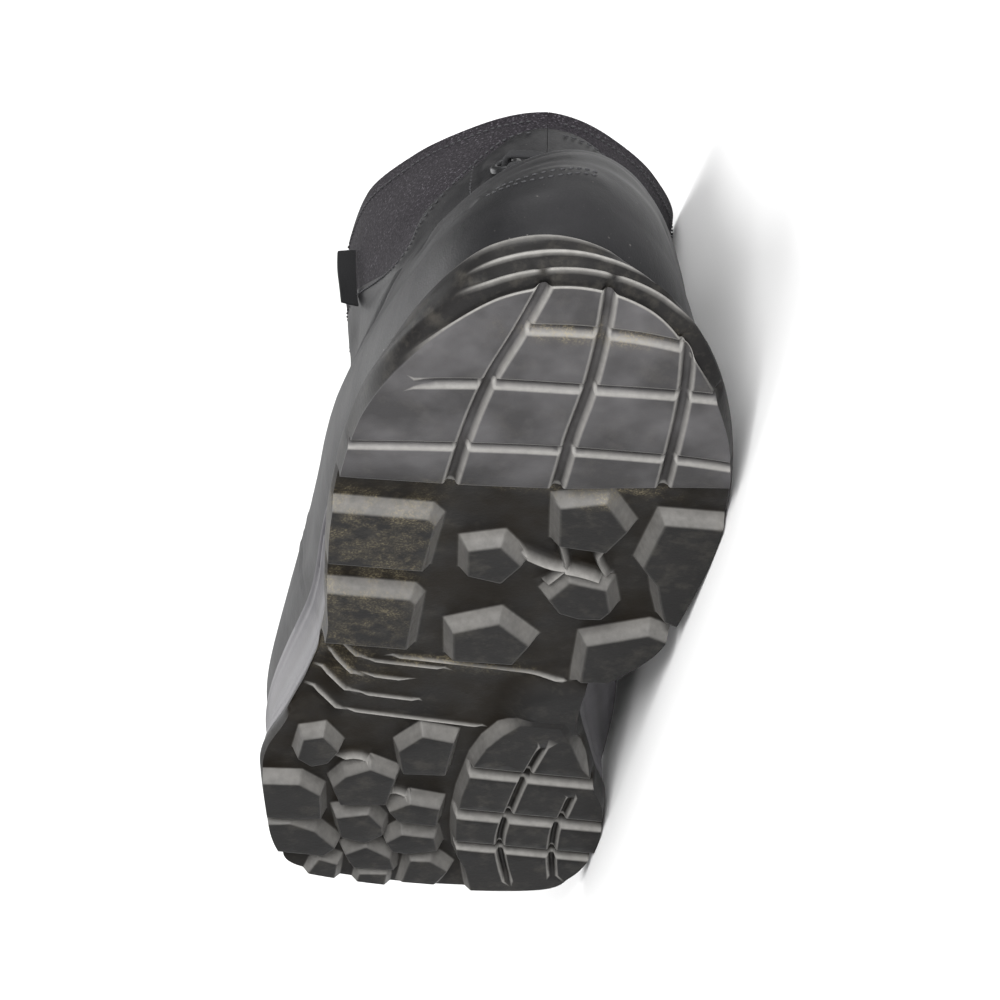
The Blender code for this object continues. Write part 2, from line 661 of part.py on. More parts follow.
def eyelet_mesh():
    """A flat ring with a rounded rim, turned round +z."""
    profile = [(EYELET_HOLE, 0.0), (EYELET_HOLE, 0.7), (3.0, EYELET_THICKNESS),
               (3.8, 0.7), (EYELET_RADIUS, 0.0)]
    sides = 10
    points, faces = [], []
    for step in range(sides):
        angle = step * 2 * math.pi / sides
        points += [(r * math.cos(angle), r * math.sin(angle), z) for r, z in profile]
        here, there = step * len(profile), (step + 1) % sides * len(profile)
        for k in range(len(profile)):
            after = (k + 1) % len(profile)
            faces.append((here + k, there + k, there + after, here + after))
    return mesh_from("eyelet", points, faces)


def build_eyelets(finish):
    mesh = eyelet_mesh()
    for row, level in enumerate(EYELET_LEVELS):
        for where, word in ((-1, "outer"), (1, "inner")):
            point, normal, up = last_frame(level, where * eyelet_turn())
            ring = add_object(f"eyelet_{word}_{row + 1}", mesh, finish)
            across = np.cross(up, normal)
            across /= np.linalg.norm(across)
            turned = np.column_stack([across, np.cross(normal, across), normal])
            place = Matrix.Translation(point + normal * 0.75) @ Matrix(turned.tolist()).to_4x4()
            ring.matrix_parent_inverse = Matrix.Identity(4)
            ring.matrix_local = place


def tube(route, radius, sides=6):
    """Points and faces of a round cord along a route, with closed ends."""
    route = np.asarray(route, float)
    run = np.gradient(route, axis=0)
    run /= np.linalg.norm(run, axis=1)[:, None]
    points, faces = [], []
    angles = np.arange(sides) * 2 * math.pi / sides
    for place, (centre, ahead) in enumerate(zip(route, run)):
        first = np.cross(ahead, (0.3, 0.1, 1.0))
        first /= np.linalg.norm(first)
        second = np.cross(ahead, first)
        circle = np.cos(angles)[:, None] * first + np.sin(angles)[:, None] * second
        points += list(centre + radius * circle)
        if place:
            low, high = (place - 1) * sides, place * sides
            faces += [(low + k, low + (k + 1) % sides, high + (k + 1) % sides, high + k)
                      for k in range(sides)]
    faces += [tuple(range(sides)), tuple(range(len(points) - 1, len(points) - 1 - sides, -1))]
    return np.array(points), faces


def lace_route(start, end):
    """From one eyelet (side, row) to another, over the throat."""
    (side_a, level_a), (side_b, level_b) = start, end
    route = []
    for share in np.linspace(0, 1, 8):
        turn = (side_a + (side_b - side_a) * share) * eyelet_turn()
        point, normal, _ = last_frame(level_a + (level_b - level_a) * share, turn)
        route.append(point + normal * LACE_LIFT)
    return route


def build_laces(finish):
    """Crossings over the throat and the bar at its foot, joined in one solid."""
    first = EYELET_LEVELS[0]
    bar = tube(lace_route((-1, first), (1, first)), LACE_RADIUS)
    laces = add_object("laces", joined("laces", [bar]), finish)
    for row, (low, high) in enumerate(zip(EYELET_LEVELS, EYELET_LEVELS[1:])):
        for where in (-1, 1):
            strand = tube(lace_route((where, low), (-where, high)), LACE_RADIUS * (1 + 0.02 * where))
            cut_with(laces, f"crossing_{row}_{where}", joined("crossing", [strand]), "UNION")
    return laces


def build_side_label(finish):
    """A small woven tab that stands out of the collar's outer side."""
    point, normal, up = last_frame(LABEL_LEVEL, -LABEL_TURN)
    thick, reach, tall = LABEL_SIZE
    lean = up * math.cos(LABEL_TILT) - np.cross(normal, up) * math.sin(LABEL_TILT)
    along_foot = np.cross(normal, lean)
    corners = []
    for a in (-0.5, 0.5):
        for b, c in ((0, -0.5), (1, -0.47), (1, 0.47), (0, 0.5)):
            corners.append(point + along_foot * a * thick + normal * (0.9 + b * reach) + lean * c * tall)
    faces = [(0, 1, 2, 3), (7, 6, 5, 4)] + [(k, (k + 1) % 4, 4 + (k + 1) % 4, 4 + k) for k in range(4)]
    return add_object("side_label", mesh_from("side_label", np.array(corners), faces), finish)


# ------------------------------------------------------------------ put together
def lay_down():
    """Turn the boot onto its inner side, with its box's lowest middle at the origin."""
    turn = Matrix.Rotation(math.radians(PITCH), 4, "Y")
    turn = turn @ Matrix.Rotation(math.radians(LIE_DOWN + ROLL), 4, "X")
    FRAME.matrix_world = turn @ Matrix.Scale(METRE, 4)
    bpy.context.view_layer.update()
    low, high = Vector((math.inf,) * 3), Vector((-math.inf,) * 3)
    graph = bpy.context.evaluated_depsgraph_get()
    for thing in bpy.context.scene.objects:
        if thing.type != "MESH" or thing.hide_render:
            continue
        shape = thing.evaluated_get(graph)
        for vertex in shape.data.vertices:
            place = shape.matrix_world @ vertex.co
            low = Vector(map(min, low, place))
            high = Vector(map(max, high, place))
    shift = Vector(((low.x + high.x) / 2, (low.y + high.y) / 2, low.z))
    FRAME.matrix_world = Matrix.Translation(-shift) @ FRAME.matrix_world
    bpy.context.view_layer.update()


build_outsole(material("outsole_rubber", (0.035, 0.034, 0.034), 0.48))
build_midsole(material("midsole_foam", (0.055, 0.055, 0.057), 0.6))
build_upper(material("upper_leather", (0.022, 0.022, 0.024), 0.45))
build_tongue(material("tongue_textile", (0.03, 0.028, 0.033), 0.85))
build_insole(material("insole_felt", (0.05, 0.05, 0.05), 0.9))
build_laces(material("lace_cord", (0.018, 0.018, 0.018), 0.8))
build_eyelets(material("eyelet_metal", (0.03, 0.03, 0.03), 0.4))
build_side_label(material("side_label_weave", (0.012, 0.012, 0.013), 0.7))
lay_down()
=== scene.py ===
# %% [markdown]
# # A laced tactical boot, lying on its inner side
#
# This lesson dresses a right-foot tactical boot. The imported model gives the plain
# solids: a lugged rubber outsole, a midsole, a hollow upper, a tongue, an insole,
# laces, eyelets and a small side label. Here each of them gets the form and finish
# that a bootmaker would see close up. Every shape is worked out in the boot's own
# frame in millimetres (x from heel to toe, y to the inner side of the foot, z up
# from the tread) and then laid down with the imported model.

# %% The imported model
import math

import bmesh
import bpy
import numpy as np
from mathutils import Matrix, Vector
from mathutils.geometry import delaunay_2d_cdt

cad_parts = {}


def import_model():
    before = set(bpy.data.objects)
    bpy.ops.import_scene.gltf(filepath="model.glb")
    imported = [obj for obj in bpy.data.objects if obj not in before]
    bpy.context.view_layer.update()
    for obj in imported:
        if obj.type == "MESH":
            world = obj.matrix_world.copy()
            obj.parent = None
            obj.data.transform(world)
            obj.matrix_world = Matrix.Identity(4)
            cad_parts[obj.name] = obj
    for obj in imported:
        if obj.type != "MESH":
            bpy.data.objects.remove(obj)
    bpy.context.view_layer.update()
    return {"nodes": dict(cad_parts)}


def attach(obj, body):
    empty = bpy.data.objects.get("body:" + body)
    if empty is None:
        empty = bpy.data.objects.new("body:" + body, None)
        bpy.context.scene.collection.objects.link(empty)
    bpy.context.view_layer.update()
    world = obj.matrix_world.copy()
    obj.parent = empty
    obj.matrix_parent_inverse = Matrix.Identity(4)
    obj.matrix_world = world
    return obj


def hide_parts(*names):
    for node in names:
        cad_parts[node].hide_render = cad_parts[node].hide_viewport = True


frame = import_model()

print("nodes:", ", ".join(sorted(frame["nodes"])))

# %% [markdown]
# ## Curves and tables
#
# A shoemaker draws with a few measured points and a bent batten. The batten here is
# a monotone cubic: it passes through the points and never bulges past them, so a
# table of a dozen rows gives a clean curve. Each table names its columns.

# %% A table and a batten
def table(columns, *rows):
    """Rows of numbers under named columns."""
    values = np.array(rows, float)
    return {name: values[:, place] for place, name in enumerate(columns.split())}


def smooth(places, values, at):
    """Monotone cubic through the values, read at any places.

    Values may have a row for each reading, when every reading has its own curve.
    """
    places, values, at = (np.asarray(given, float) for given in (places, values, at))
    shape = at.shape
    at = np.clip(at.ravel(), places[0], places[-1])
    values = np.broadcast_to(values.reshape(-1, len(places)), (len(at), len(places)))
    step = np.diff(places)
    slope = np.diff(values, axis=1) / step
    inner = (slope[:, :-1] + slope[:, 1:]) / 2
    inner = np.where(slope[:, :-1] * slope[:, 1:] <= 0, 0, inner)
    limit = 3 * np.minimum(np.abs(slope[:, :-1]), np.abs(slope[:, 1:]))
    tangent = np.hstack([slope[:, :1], np.clip(inner, -limit, limit), slope[:, -1:]])
    cell = np.clip(np.searchsorted(places, at, side="right") - 1, 0, len(step) - 1)
    row = np.arange(len(at))
    t = (at - places[cell]) / step[cell]
    start, end = values[row, cell], values[row, cell + 1]
    pull = t * (1 - t) ** 2 * tangent[row, cell] - t ** 2 * (1 - t) * tangent[row, cell + 1]
    return (start + (end - start) * t * t * (3 - 2 * t) + step[cell] * pull).reshape(shape)


def path_walk(path):
    """Distance walked from a path's start to each of its points."""
    return np.concatenate([[0], np.cumsum(np.linalg.norm(np.diff(path, axis=0), axis=1))])


def ease(value):
    """Soft step from 0 to 1."""
    value = np.clip(value, 0, 1)
    return value * value * (3 - 2 * value)


def hump(value, middle, reach):
    """A smooth bump of height 1 round a middle, gone at its reach."""
    return ease(1 - np.abs(np.asarray(value, float) - middle) / reach)


# %% The sole's sizes
GAP = 0.35               # air between pieces that touch
SOLE_LENGTH = 297.0
TREAD_DEPTH = 5.0        # height of the lugs
PLATE = 3.6              # rubber above the tread's floor
TOE_BREAK = 205.0        # where the sole starts to lift towards the toe
TOE_SPRING = 18.6        # lift of the tread at the tip
BUMPER_START = 190.0     # where the outsole's edge starts to climb over the upper
BUMPER_CLIMB = 20.0      # length over which it gets going
BUMPER_TIP = 293.5
SOLE = table(
    "x centre half",
    (0, -1, 0), (4, 0, 33.5), (12, 1, 40.3), (20, 0.7, 43.7),
    (32, -0.2, 46.2), (50, -3.2, 47.2), (60, -5.5, 45.5), (75, -6.7, 41.7),
    (92, -8.1, 38.1), (110, -7.6, 37.2), (120, -4, 41.4), (137, -0.6, 46.2),
    (160, -0.9, 49.7), (185, -1.5, 52.5), (205, -2.2, 53.2), (225, -3.5, 52.2),
    (245, -4.5, 49.1), (262, -4.7, 44.4), (277, -4.5, 37), (289, -4, 26),
    (SOLE_LENGTH, -4, 0),
)
BUMPER = table(
    "x half height",
    (185, 52.0, 0), (208, 51.8, 2.2), (225, 48.6, 5.0), (243, 43.5, 7.0),
    (260, 37.2, 6.5), (274, 29.5, 5.5), (286, 19.8, 4.5), (BUMPER_TIP, 0, 4.0),
)
BEND = table(
    "x y",
    (0, 0), (19, 0), (56, -1.8), (113, -4), (176, -1.5), (208, -2.2), (225, -4.2),
    (243, -5.5), (260, -7.2), (274, -9), (286, -10.2), (297, -11),
)
FOOTBED = table(
    "x z",
    (0, 27), (40, 26.5), (90, 24), (130, 19), (170, 15.5),
    (205, 14.5), (240, 17), (270, 23.5), (290, 28.7), (297, 30.5),
)

# %% Reading the sole's tables
def sole_centre(x):
    """Middle line of the sole, which swings with the foot."""
    return smooth(SOLE["x"], SOLE["centre"], x)


def sole_half(x):
    """Half width of the sole; the ends are round because squares are joined."""
    return np.sqrt(np.maximum(smooth(SOLE["x"], SOLE["half"] ** 2, x), 0))


def tread_z(x):
    """Height of the lugs' faces: flat under heel and ball, lifted at the toe."""
    return TOE_SPRING * (np.maximum(np.asarray(x) - TOE_BREAK, 0) / (SOLE_LENGTH - TOE_BREAK)) ** 2


def plate_z(x):
    """Top of the outsole's plate, where the midsole lies."""
    return tread_z(x) + TREAD_DEPTH + PLATE


def footbed_z(x):
    """Top of the midsole, where the upper's feather edge and the insole lie."""
    return smooth(FOOTBED["x"], FOOTBED["z"], x)


def lip_z(x):
    """Top edge of the outsole, which climbs into the toe bumper."""
    begun = ease((np.asarray(x) - BUMPER_START) / BUMPER_CLIMB)
    rise = smooth(BUMPER["x"], BUMPER["height"], x) * begun
    return plate_z(x) + rise


def bend(x):
    """Middle line of the upper, which swings outward at waist and toe."""
    return smooth(BEND["x"], BEND["y"], x)


x_check = np.linspace(0, SOLE_LENGTH, 600)
print("sole %.0f mm long, %.0f mm wide" % (SOLE_LENGTH, 2 * sole_half(x_check).max()))

# %% [markdown]
# ## Laying the boot down
#
# A boot that is set down on its inner side rests on the sole's edge and on the rim of
# the collar. All the shapes below are easier to think about while it stands, so they
# are worked out standing, and one turn and one shift take every point to where the
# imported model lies. The outsole's own points say how large the shift is.

# %% Laying the boot down
ROLL = 4.69              # degrees about the boot's length, then about its height,
PITCH = -1.91            # that bring sole edge and collar down to the floor together
TURN = np.array(Matrix.Rotation(math.radians(PITCH), 3, "Y")
                @ Matrix.Rotation(math.radians(-90 + ROLL), 3, "X"))
packed = np.array([vertex.co for vertex in frame["nodes"]["outsole"].data.vertices])
packed = packed @ TURN * 1000
outer_edge = (sole_centre(x_check) - sole_half(x_check)).min()
ORIGIN = np.array([packed[:, 0].min(), packed[:, 1].min() - outer_edge, packed[:, 2].min()])


def world(points):
    """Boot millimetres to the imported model's metres."""
    return (np.asarray(points, float) + ORIGIN) @ TURN.T / 1000


print("the heel's back edge is at", np.round(world((0, 0, 0)), 4), "metres")

# %% [markdown]
# ## Building meshes
#
# Most pieces here are grids or plans worked out with numpy, so one helper turns
# points and faces into a mesh object. It checks the enclosed volume and turns the
# faces outward if it is negative, which is the quickest honest test of a normal.

# %% Mesh helpers
WELD = 2e-6              # points closer than this, in metres, become one


def make(name, points, faces, finishes, marks=None, slots=None, sharp=60):
    """A closed mesh object from points in boot millimetres.

    marks holds one number per point for the finishes to read, slots one finish per
    face, and edges that bend by more than sharp degrees stay crisp.
    """
    mesh = bpy.data.meshes.new(name)
    mesh.from_pydata(world(points).tolist(), [], faces)
    for finish in finishes:
        mesh.materials.append(finish)
    for mark, values in (marks or {}).items():
        layer = mesh.attributes.new(mark, "FLOAT", "POINT")
        layer.data.foreach_set("value", np.asarray(values, np.float32))
    if slots is not None:
        mesh.polygons.foreach_set("material_index", np.asarray(slots, np.int32))
    model = bmesh.new()
    model.from_mesh(mesh)
    bmesh.ops.remove_doubles(model, verts=model.verts, dist=WELD)
    if model.calc_volume(signed=True) < 0:
        bmesh.ops.reverse_faces(model, faces=model.faces)
    model.to_mesh(mesh)
    loose = sum(not edge.is_manifold for edge in model.edges)
    model.free()
    mesh.shade_smooth()
    mesh.set_sharp_from_angle(angle=math.radians(sharp))
    thing = bpy.data.objects.new(name, mesh)
    bpy.context.scene.collection.objects.link(thing)
    count = sum(len(face.vertices) - 2 for face in mesh.polygons)
    print(f"{name}: {count} triangles, {loose} open edges")
    return thing


def finish_piece(thing, slot, *nodes):
    """Hang a piece on the boot's body in place of its plain solids."""
    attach(thing, "root")
    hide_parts(*nodes)

# %% Helpers for loops and grids
def unit(rows):
    """Directions scaled to a length of 1."""
    return rows / np.maximum(np.linalg.norm(rows, axis=-1, keepdims=True), 1e-9)


def push_in(loop, amount):
    """Move each point of a closed plan loop towards its inside."""
    run = unit(np.roll(loop, -1, axis=0) - np.roll(loop, 1, axis=0))
    inward = np.column_stack([-run[:, 1], run[:, 0]])
    return loop + inward * np.broadcast_to(amount, len(loop))[:, None]


def raised(plan, z):
    """Give a plan loop its heights."""
    return np.column_stack([plan, np.broadcast_to(z, len(plan))])


def numbered(rows, count, start=0):
    """Point numbers of a grid, row by row."""
    return start + np.arange(rows * count).reshape(rows, count)


def quads(index, turned=False):
    """Quads between the rows and columns of a grid of point numbers."""
    corners = [index[:-1, :-1], index[:-1, 1:], index[1:, 1:], index[1:, :-1]]
    if turned:
        corners[1], corners[3] = corners[3], corners[1]
    return np.stack(corners, axis=-1).reshape(-1, 4).tolist()


def closed_round(index):
    """A grid of point numbers with its first column once more at its end."""
    return np.hstack([index, index[:, :1]])


def rings(loops):
    """Quads between neighbouring closed loops of equal count."""
    return quads(closed_round(numbered(len(loops), len(loops[0]))))


# %% [markdown]
# ## The last
#
# The upper is pulled over a last, a foot-shaped form. Fourteen sections are loops
# between a point at the back and a point at the front, with half widths between
# them, and any level and angle between the sections can be read off.

# %% Sections of the last
STATIONS = (0, 0.05, 0.18, 0.38, 0.60, 0.80, 0.93, 1)
LAST = table(
    "back_x back_z front_x front_z heel ankle waist joint ball toe",
    (5.0, 27, 290.0, 29.0, 39.0, 45.5, 42.5, 49.0, 43.5, 29.0),
    (3.0, 36, 291.0, 36.0, 40.0, 46.5, 44.5, 51.0, 43.5, 29.0),
    (2.5, 46, 290.0, 45.0, 39.5, 45.0, 44.5, 50.0, 41.5, 27.5),
    (3.0, 57, 285.5, 54.0, 37.5, 42.5, 44.5, 47.5, 37.5, 25.0),
    (4.5, 68, 276.0, 64.0, 34.5, 39.5, 42.5, 45.0, 34.5, 22.5),
    (6.5, 79, 262.0, 75.5, 31.5, 37.0, 41.0, 43.0, 33.5, 20.5),
    (9.0, 90, 244.0, 87.5, 28.5, 35.0, 39.5, 41.0, 32.0, 20.0),
    (11.5, 101, 221.0, 99.5, 26.5, 34.0, 38.0, 39.0, 30.0, 18.5),
    (13.5, 112, 196.0, 110.5, 25.0, 34.0, 37.5, 37.0, 28.0, 17.0),
    (14.5, 124, 172.0, 122.0, 23.0, 34.5, 38.5, 37.0, 28.0, 17.0),
    (14.5, 138, 150.0, 136.0, 22.0, 35.5, 40.7, 38.5, 29.0, 17.5),
    (13.0, 152, 134.0, 153.5, 21.5, 36.0, 42.5, 40.2, 31.0, 18.0),
    (11.0, 166, 120.0, 172.0, 21.0, 35.5, 43.0, 41.8, 32.5, 18.8),
    (9.0, 180, 114.0, 188.0, 21.0, 35.0, 43.0, 42.3, 33.5, 19.5),
)
COLLAR_LEVEL = 12.1
SOLE_PULL = 5.0          # levels over which the footbed's curve fades out
PLAN_PULL = 8.0          # levels over which the bent middle line fades out
SHAFT_LEAN = 17.0        # how far the collar hangs over towards the inner side
LEAN_START = 45.0
LEAN_END = 170.0
COLUMN_WARP = 0.15       # draws columns from the ends to the long sides

# %% Points on the last
def along(turn):
    """Place between back (0) and front (1) of the column at an angle."""
    return 0.5 + 0.5 * np.cos(turn + COLUMN_WARP * np.sin(2 * turn))


def side(turn):
    """Which side of the foot a column is on: +1 is the inner side."""
    return np.where(np.mod(turn, 2 * math.pi) < math.pi, 1.0, -1.0)


def last_points(level, turn):
    """Points on the upper's outer face, from levels and column angles."""
    level, turn = np.broadcast_arrays(np.asarray(level, float), np.asarray(turn, float))
    rows = np.arange(len(LAST["heel"]))
    read = {name: smooth(rows, LAST[name], level) for name in LAST}
    place = along(turn)
    x = read["back_x"] + (read["front_x"] - read["back_x"]) * place
    z = read["back_z"] + (read["front_z"] - read["back_z"]) * place
    feather = LAST["back_z"][0] + (LAST["front_z"][0] - LAST["back_z"][0]) * place
    z = z + np.maximum(0, 1 - level / SOLE_PULL) ** 2 * (footbed_z(x) + GAP - feather)
    names = ("heel", "ankle", "waist", "joint", "ball", "toe")
    widths = np.stack([0 * x] + [read[name] for name in names] + [0 * x], axis=-1)
    half = np.sqrt(np.maximum(smooth(STATIONS, widths ** 2, place), 0))
    rise = np.maximum(z - LEAN_START, 0) / (LEAN_END - LEAN_START)
    middle = bend(x) * np.maximum(0, 1 - level / PLAN_PULL) + SHAFT_LEAN * rise
    return np.stack([x, middle + side(turn) * half, z], axis=-1)


def normals(grid):
    """Unit normals of a grid of points whose columns run round the foot."""
    around = np.gradient(grid, axis=1)
    upward = np.gradient(grid, axis=0)
    return unit(np.cross(around, upward))


collar = last_points(COLLAR_LEVEL, np.linspace(0, 2 * math.pi, 200))
print("collar %.0f mm long, %.0f mm above the tread" % (np.ptp(collar[:, 0]), collar[:, 2].max()))

# %% [markdown]
# ## The tread's plan
#
# The sole is moulded, so its tread is one skin that steps up and down. A Boolean
# would give knife edges; a height grid would give saw-toothed ones. Instead each
# block's outline is drawn several times, a fraction of a millimetre apart, and all
# those contours go into one triangulation of the sole's plan. A table says how high
# the skin is at each contour, so every edge is rounded and crisp.

# %% Blocks and pads
# Corners are (x, y); "rim" runs along the sole's edge between two distances on the
# outer (-1) or inner (+1) side.
LUGS = {
    "ball_outer_front": [(193, -28), (190, -25.5), (166, -25), ("rim", -1, 166, 193)],
    "ball_outer_rear": [(151, -26), (148.5, -24), (125, -22.5), ("rim", -1, 125, 151)],
    "ball_inner": [(200, 34.5), ("rim", 1, 200, 146), (150, 43), (160, 40),
                   (168, 38), (177, 32.5)],
    "waist_inner": [(134.5, 24.5), (142.5, 40), ("rim", 1, 138, 121), (116, 34.5),
                    (115, 26)],
    "ball_arrow": [(135.5, -12), (142.3, -0.5), (132, 9.5), (121.5, 6.5), (121, -9.5)],
    "ball_pentagon": [(178.5, -15), (182, -6.5), (173, 0.5), (163, -3.5), (165.5, -13)],
    "ball_front": [(204, 5.5), (208.5, 17.5), (195, 25.5), (183, 21.5), (184.5, 8.5)],
    "ball_middle": [(166.5, 14.5), (164, 25), (153, 28), (148.5, 26), (148, 20),
                    (150, 14.5), (156.5, 10.5)],
    "heel_front": [(71.5, -16), (80.3, -11), (78.5, -2), (61, -1.5), (60, -13)],
    "heel_outer_front": [(76, -37.2), (69, -31.9), (62.3, -33.9), (60, -38), (63.5, -42.3),
                         (73.7, -42.4)],
    "heel_cross": [(61, -22), (57, -14.5), (43, -14.8), (41, -27), (50, -30.5),
                   (56, -28)],
    "heel_outer_middle": [(50, -39.5), (45, -33), (33, -30.8), (31.5, -38),
                          ("rim", -1, 31.5, 48.5)],
    "heel_step": [(34, -27), (37.3, -18.5), (31, -13.8), (27, -13), (22, -17), (24, -24)],
    "heel_hook": [(39.5, -13.5), (44.5, -8.5), (43, 0), (34, 0.5), (34.5, -10)],
    "heel_wedge": [(23, -11.5), (28, -8), (27.5, 1), (21, 3), (18, -5), (18.5, -9)],
    "heel_outer_rear": [(29, -38.5), (26, -31.5), (18, -24.5), (13.5, -27),
                        ("rim", -1, 14, 27)],
    "heel_star": [(15, -21.5), (20, -16.5), (15, -9), (9, -7), (8.5, -18)],
    "heel_round": [(14.5, -3.5), (15, 2), (10.5, 7.5), (3, 5), (3, -4)],
    "heel_edge_outer": [(11.5, -28), (9.5, -22.5), (-4, -22), (-2, -31)],
    "heel_edge_middle": [(5.5, -16), (6.5, -8.5), (-5, -8), (-5, -16)],
}
HEEL_PAD = [(90.5, 14), (84, 10), (77, 7), (68, 5.2), (50, 4.6), (38, 5.2), (28, 6.6),
            (19, 8.6), (12, 12), (-3, 16.5), ("rim", 1, 4, 56), (70, 34.5), (82, 29.5),
            (90.5, 25)]
TOE_ZONE_REAR = table("x y", (211, -62), (211, -50), (212, -20), (214, 5), (219, 35), (222, 60))

# %% Grooves and ribs
# Grooves: a path, half width at the mouth, depth, and how far each end tapers.
GROOVES = {
    "toe_outer": ([(206, -25.3), (230, -25), (256, -22.3), (275, -17), (293, -12)], 1.9, 2.6, 0),
    "toe_middle": ([(206, 3), (233, 3), (257, 4.6), (275, 5), (293, 4.5)], 1.9, 2.6, 0),
    "toe_inner": ([(212, 31), (233, 30.6), (257, 30), (281, 27.5)], 1.8, 2.6, 4),
    "toe_rear_row": ([(225.6, -62), (229.3, -27), (231.2, 0), (231.5, 30), (228.6, 60)],
                     1.7, 2.4, 0),
    "toe_middle_row": ([(253.4, -42), (255.5, -22), (256.3, 0), (257, 30), (255.6, 56)],
                       1.7, 2.4, 8),
    "toe_front_row": ([(275.6, -17), (276.6, 0), (276, 15), (273.8, 30)], 1.7, 2.2, 2),
    "heel_front_row": ([(64, 3.2), (63.3, 20), (62.6, 52)], 2.3, 4.0, 0),
    "heel_middle_row": ([(41.6, 3.2), (41.2, 20), (40.6, 56)], 2.3, 4.0, 0),
    "heel_rear_row": ([(24.9, 5), (24.6, 20), (24.0, 56)], 1.9, 3.4, 0),
    "heel_inner_line": ([(80, 22), (68, 20.5), (60, 19.5), (45, 18.7), (38, 18.3), (28, 18.8),
                         (15, 22), (8, 24.3)], 1.2, 2.2, 5),
    "heel_edge_line": ([(55, 34), (43, 33.2), (38, 32.5), (30, 33), (22, 34), (13, 35.8)],
                       1.2, 2.2, 4),
}
# Low ribs on the floor: a path, half width, height.
RIBS = {
    "bridge_outer": ([(176, 0), (173.5, 4), (171, 9), (170.5, 13)], 1.5, 3.6),
    "bridge_crest": ([(170.5, 12), (169.5, 17), (167, 23)], 1.3, 4.2),
    "bridge_front": ([(184, 9), (178, 11), (171, 13)], 1.2, 3.4),
    "bridge_notch": ([(171, 13), (165, 10.5), (161, 8.5)], 1.0, 3.4),
    "bridge_inner": ([(183, 21.5), (178, 20.5), (173, 22), (167.5, 25)], 1.3, 3.4),
    "bridge_heel": ([(60, -21), (62.5, -26), (60.5, -31)], 1.3, 2.2),
    "bridge_hook": ([(44, -9), (46, -13), (44, -16)], 1.2, 2.2),
    "arch_1": ([(111.8, -31), (110.5, -10)], 0.6, 1.0),
    "arch_2": ([(104, -30), (103, -19)], 0.6, 1.0),
    "arch_3": ([(94.2, -30), (93, -14)], 0.6, 1.0),
    "arch_4": ([(85, -32), (82, 5)], 0.6, 1.0),
    "arch_front": ([(115, -25), (113.5, 0), (112, 22)], 0.7, 1.1),
    "slope_1": ([(118.5, -40), (113, -33)], 0.9, 1.5),
    "slope_2": ([(110.5, -41), (104, -33)], 0.9, 1.5),
    "slope_3": ([(101.5, -42), (95, -33)], 0.9, 1.5),
    "slope_4": ([(91, -42.5), (85, -34)], 0.9, 1.5),
}
print(len(LUGS), "lugs,", len(GROOVES), "grooves and", len(RIBS), "ribs")

# %% Steps of the walls
BLOCK_STEP = table(      # height of a block's wall, as a share, by distance outward
    "out share",
    (-0.8, 0.0), (-0.3, 0.012), (-0.05, 0.05), (0.12, 0.12), (1.2, 0.52),
    (2.3, 0.93), (2.6, 0.985), (3.0, 1.0),
)
GROOVE_STEP = table(     # depth of a groove, as a share, by distance over half width
    "out share",
    (0, 1.0), (0.3, 0.97), (0.5, 0.84), (0.9, 0.22), (1.1, 0.06), (1.4, 0.0),
)
RIB_STEP = table(        # height of a rib in the same way
    "out share",
    (0, 1.0), (0.25, 0.9), (1.0, 0.2), (1.5, 0.0),
)

# %% Rounded outlines
CORNER_RADIUS = 0.5
OUTLINE_SPACING = 4.0    # longest step between the points of an outline


def rounded(corners):
    """A polygon with its corners turned into short arcs and its sides divided."""
    arcs = []
    for place, here in enumerate(corners):
        before = corners[place - 1] - here
        after = corners[(place + 1) % len(corners)] - here
        cut = min(CORNER_RADIUS, 0.45 * np.linalg.norm(before), 0.45 * np.linalg.norm(after))
        start = here + before / np.linalg.norm(before) * cut
        end = here + after / np.linalg.norm(after) * cut
        for share in (0, 0.25, 0.5, 0.75, 1):
            pull = 2 * here * share * (1 - share)
            arcs.append(start * (1 - share) ** 2 + pull + end * share ** 2)
    outline = []
    for place, here in enumerate(arcs):
        ahead = arcs[(place + 1) % len(arcs)] - here
        steps = int(np.linalg.norm(ahead) / OUTLINE_SPACING) + 1
        outline += [here + ahead * k / steps for k in range(steps)]
    return np.array(outline)


def grown(corners, out):
    """A polygon with every side moved outward by the same distance.

    A corner moves further than its sides do, and the limit keeps a sharp one in hand.
    """
    ahead = np.roll(corners, -1, axis=0) - corners
    facing = unit(np.column_stack([ahead[:, 1], -ahead[:, 0]]))
    before = np.roll(facing, 1, axis=0)
    share = np.maximum(1 + np.sum(facing * before, axis=1), 0.5)
    return corners + out * (facing + before) / share[:, None]

# %% Outlines of the blocks
PAST_EDGE = 3.0          # how far a block that reaches the rim is carried past it
HEEL_FRONT = 95.0        # lugs behind this are the heel's, and have steeper walls
HEEL_DRAFT = 0.6


def block_corners(corners):
    """A block's corners, with its stretches of the rim carried past the sole's edge."""
    points = []
    for corner in corners:
        if corner[0] != "rim":
            points.append(corner)
            continue
        where, start, end = corner[1:]
        for x in np.linspace(start, end, max(2, int(abs(end - start) / 8) + 1)):
            points.append((x, sole_centre(x) + where * (sole_half(x) + PAST_EDGE)))
    points = np.array(points, float)
    x, y = points.T
    area = np.sum(x * np.roll(y, -1) - np.roll(x, -1) * y)
    return points if area > 0 else points[::-1]


def toe_zone():
    """The ribbed zone under the toe, past the sole's edge on three sides."""
    rear = list(zip(TOE_ZONE_REAR["x"], TOE_ZONE_REAR["y"]))[::-1]
    return np.array(rear + [(310, -62), (310, 60)])


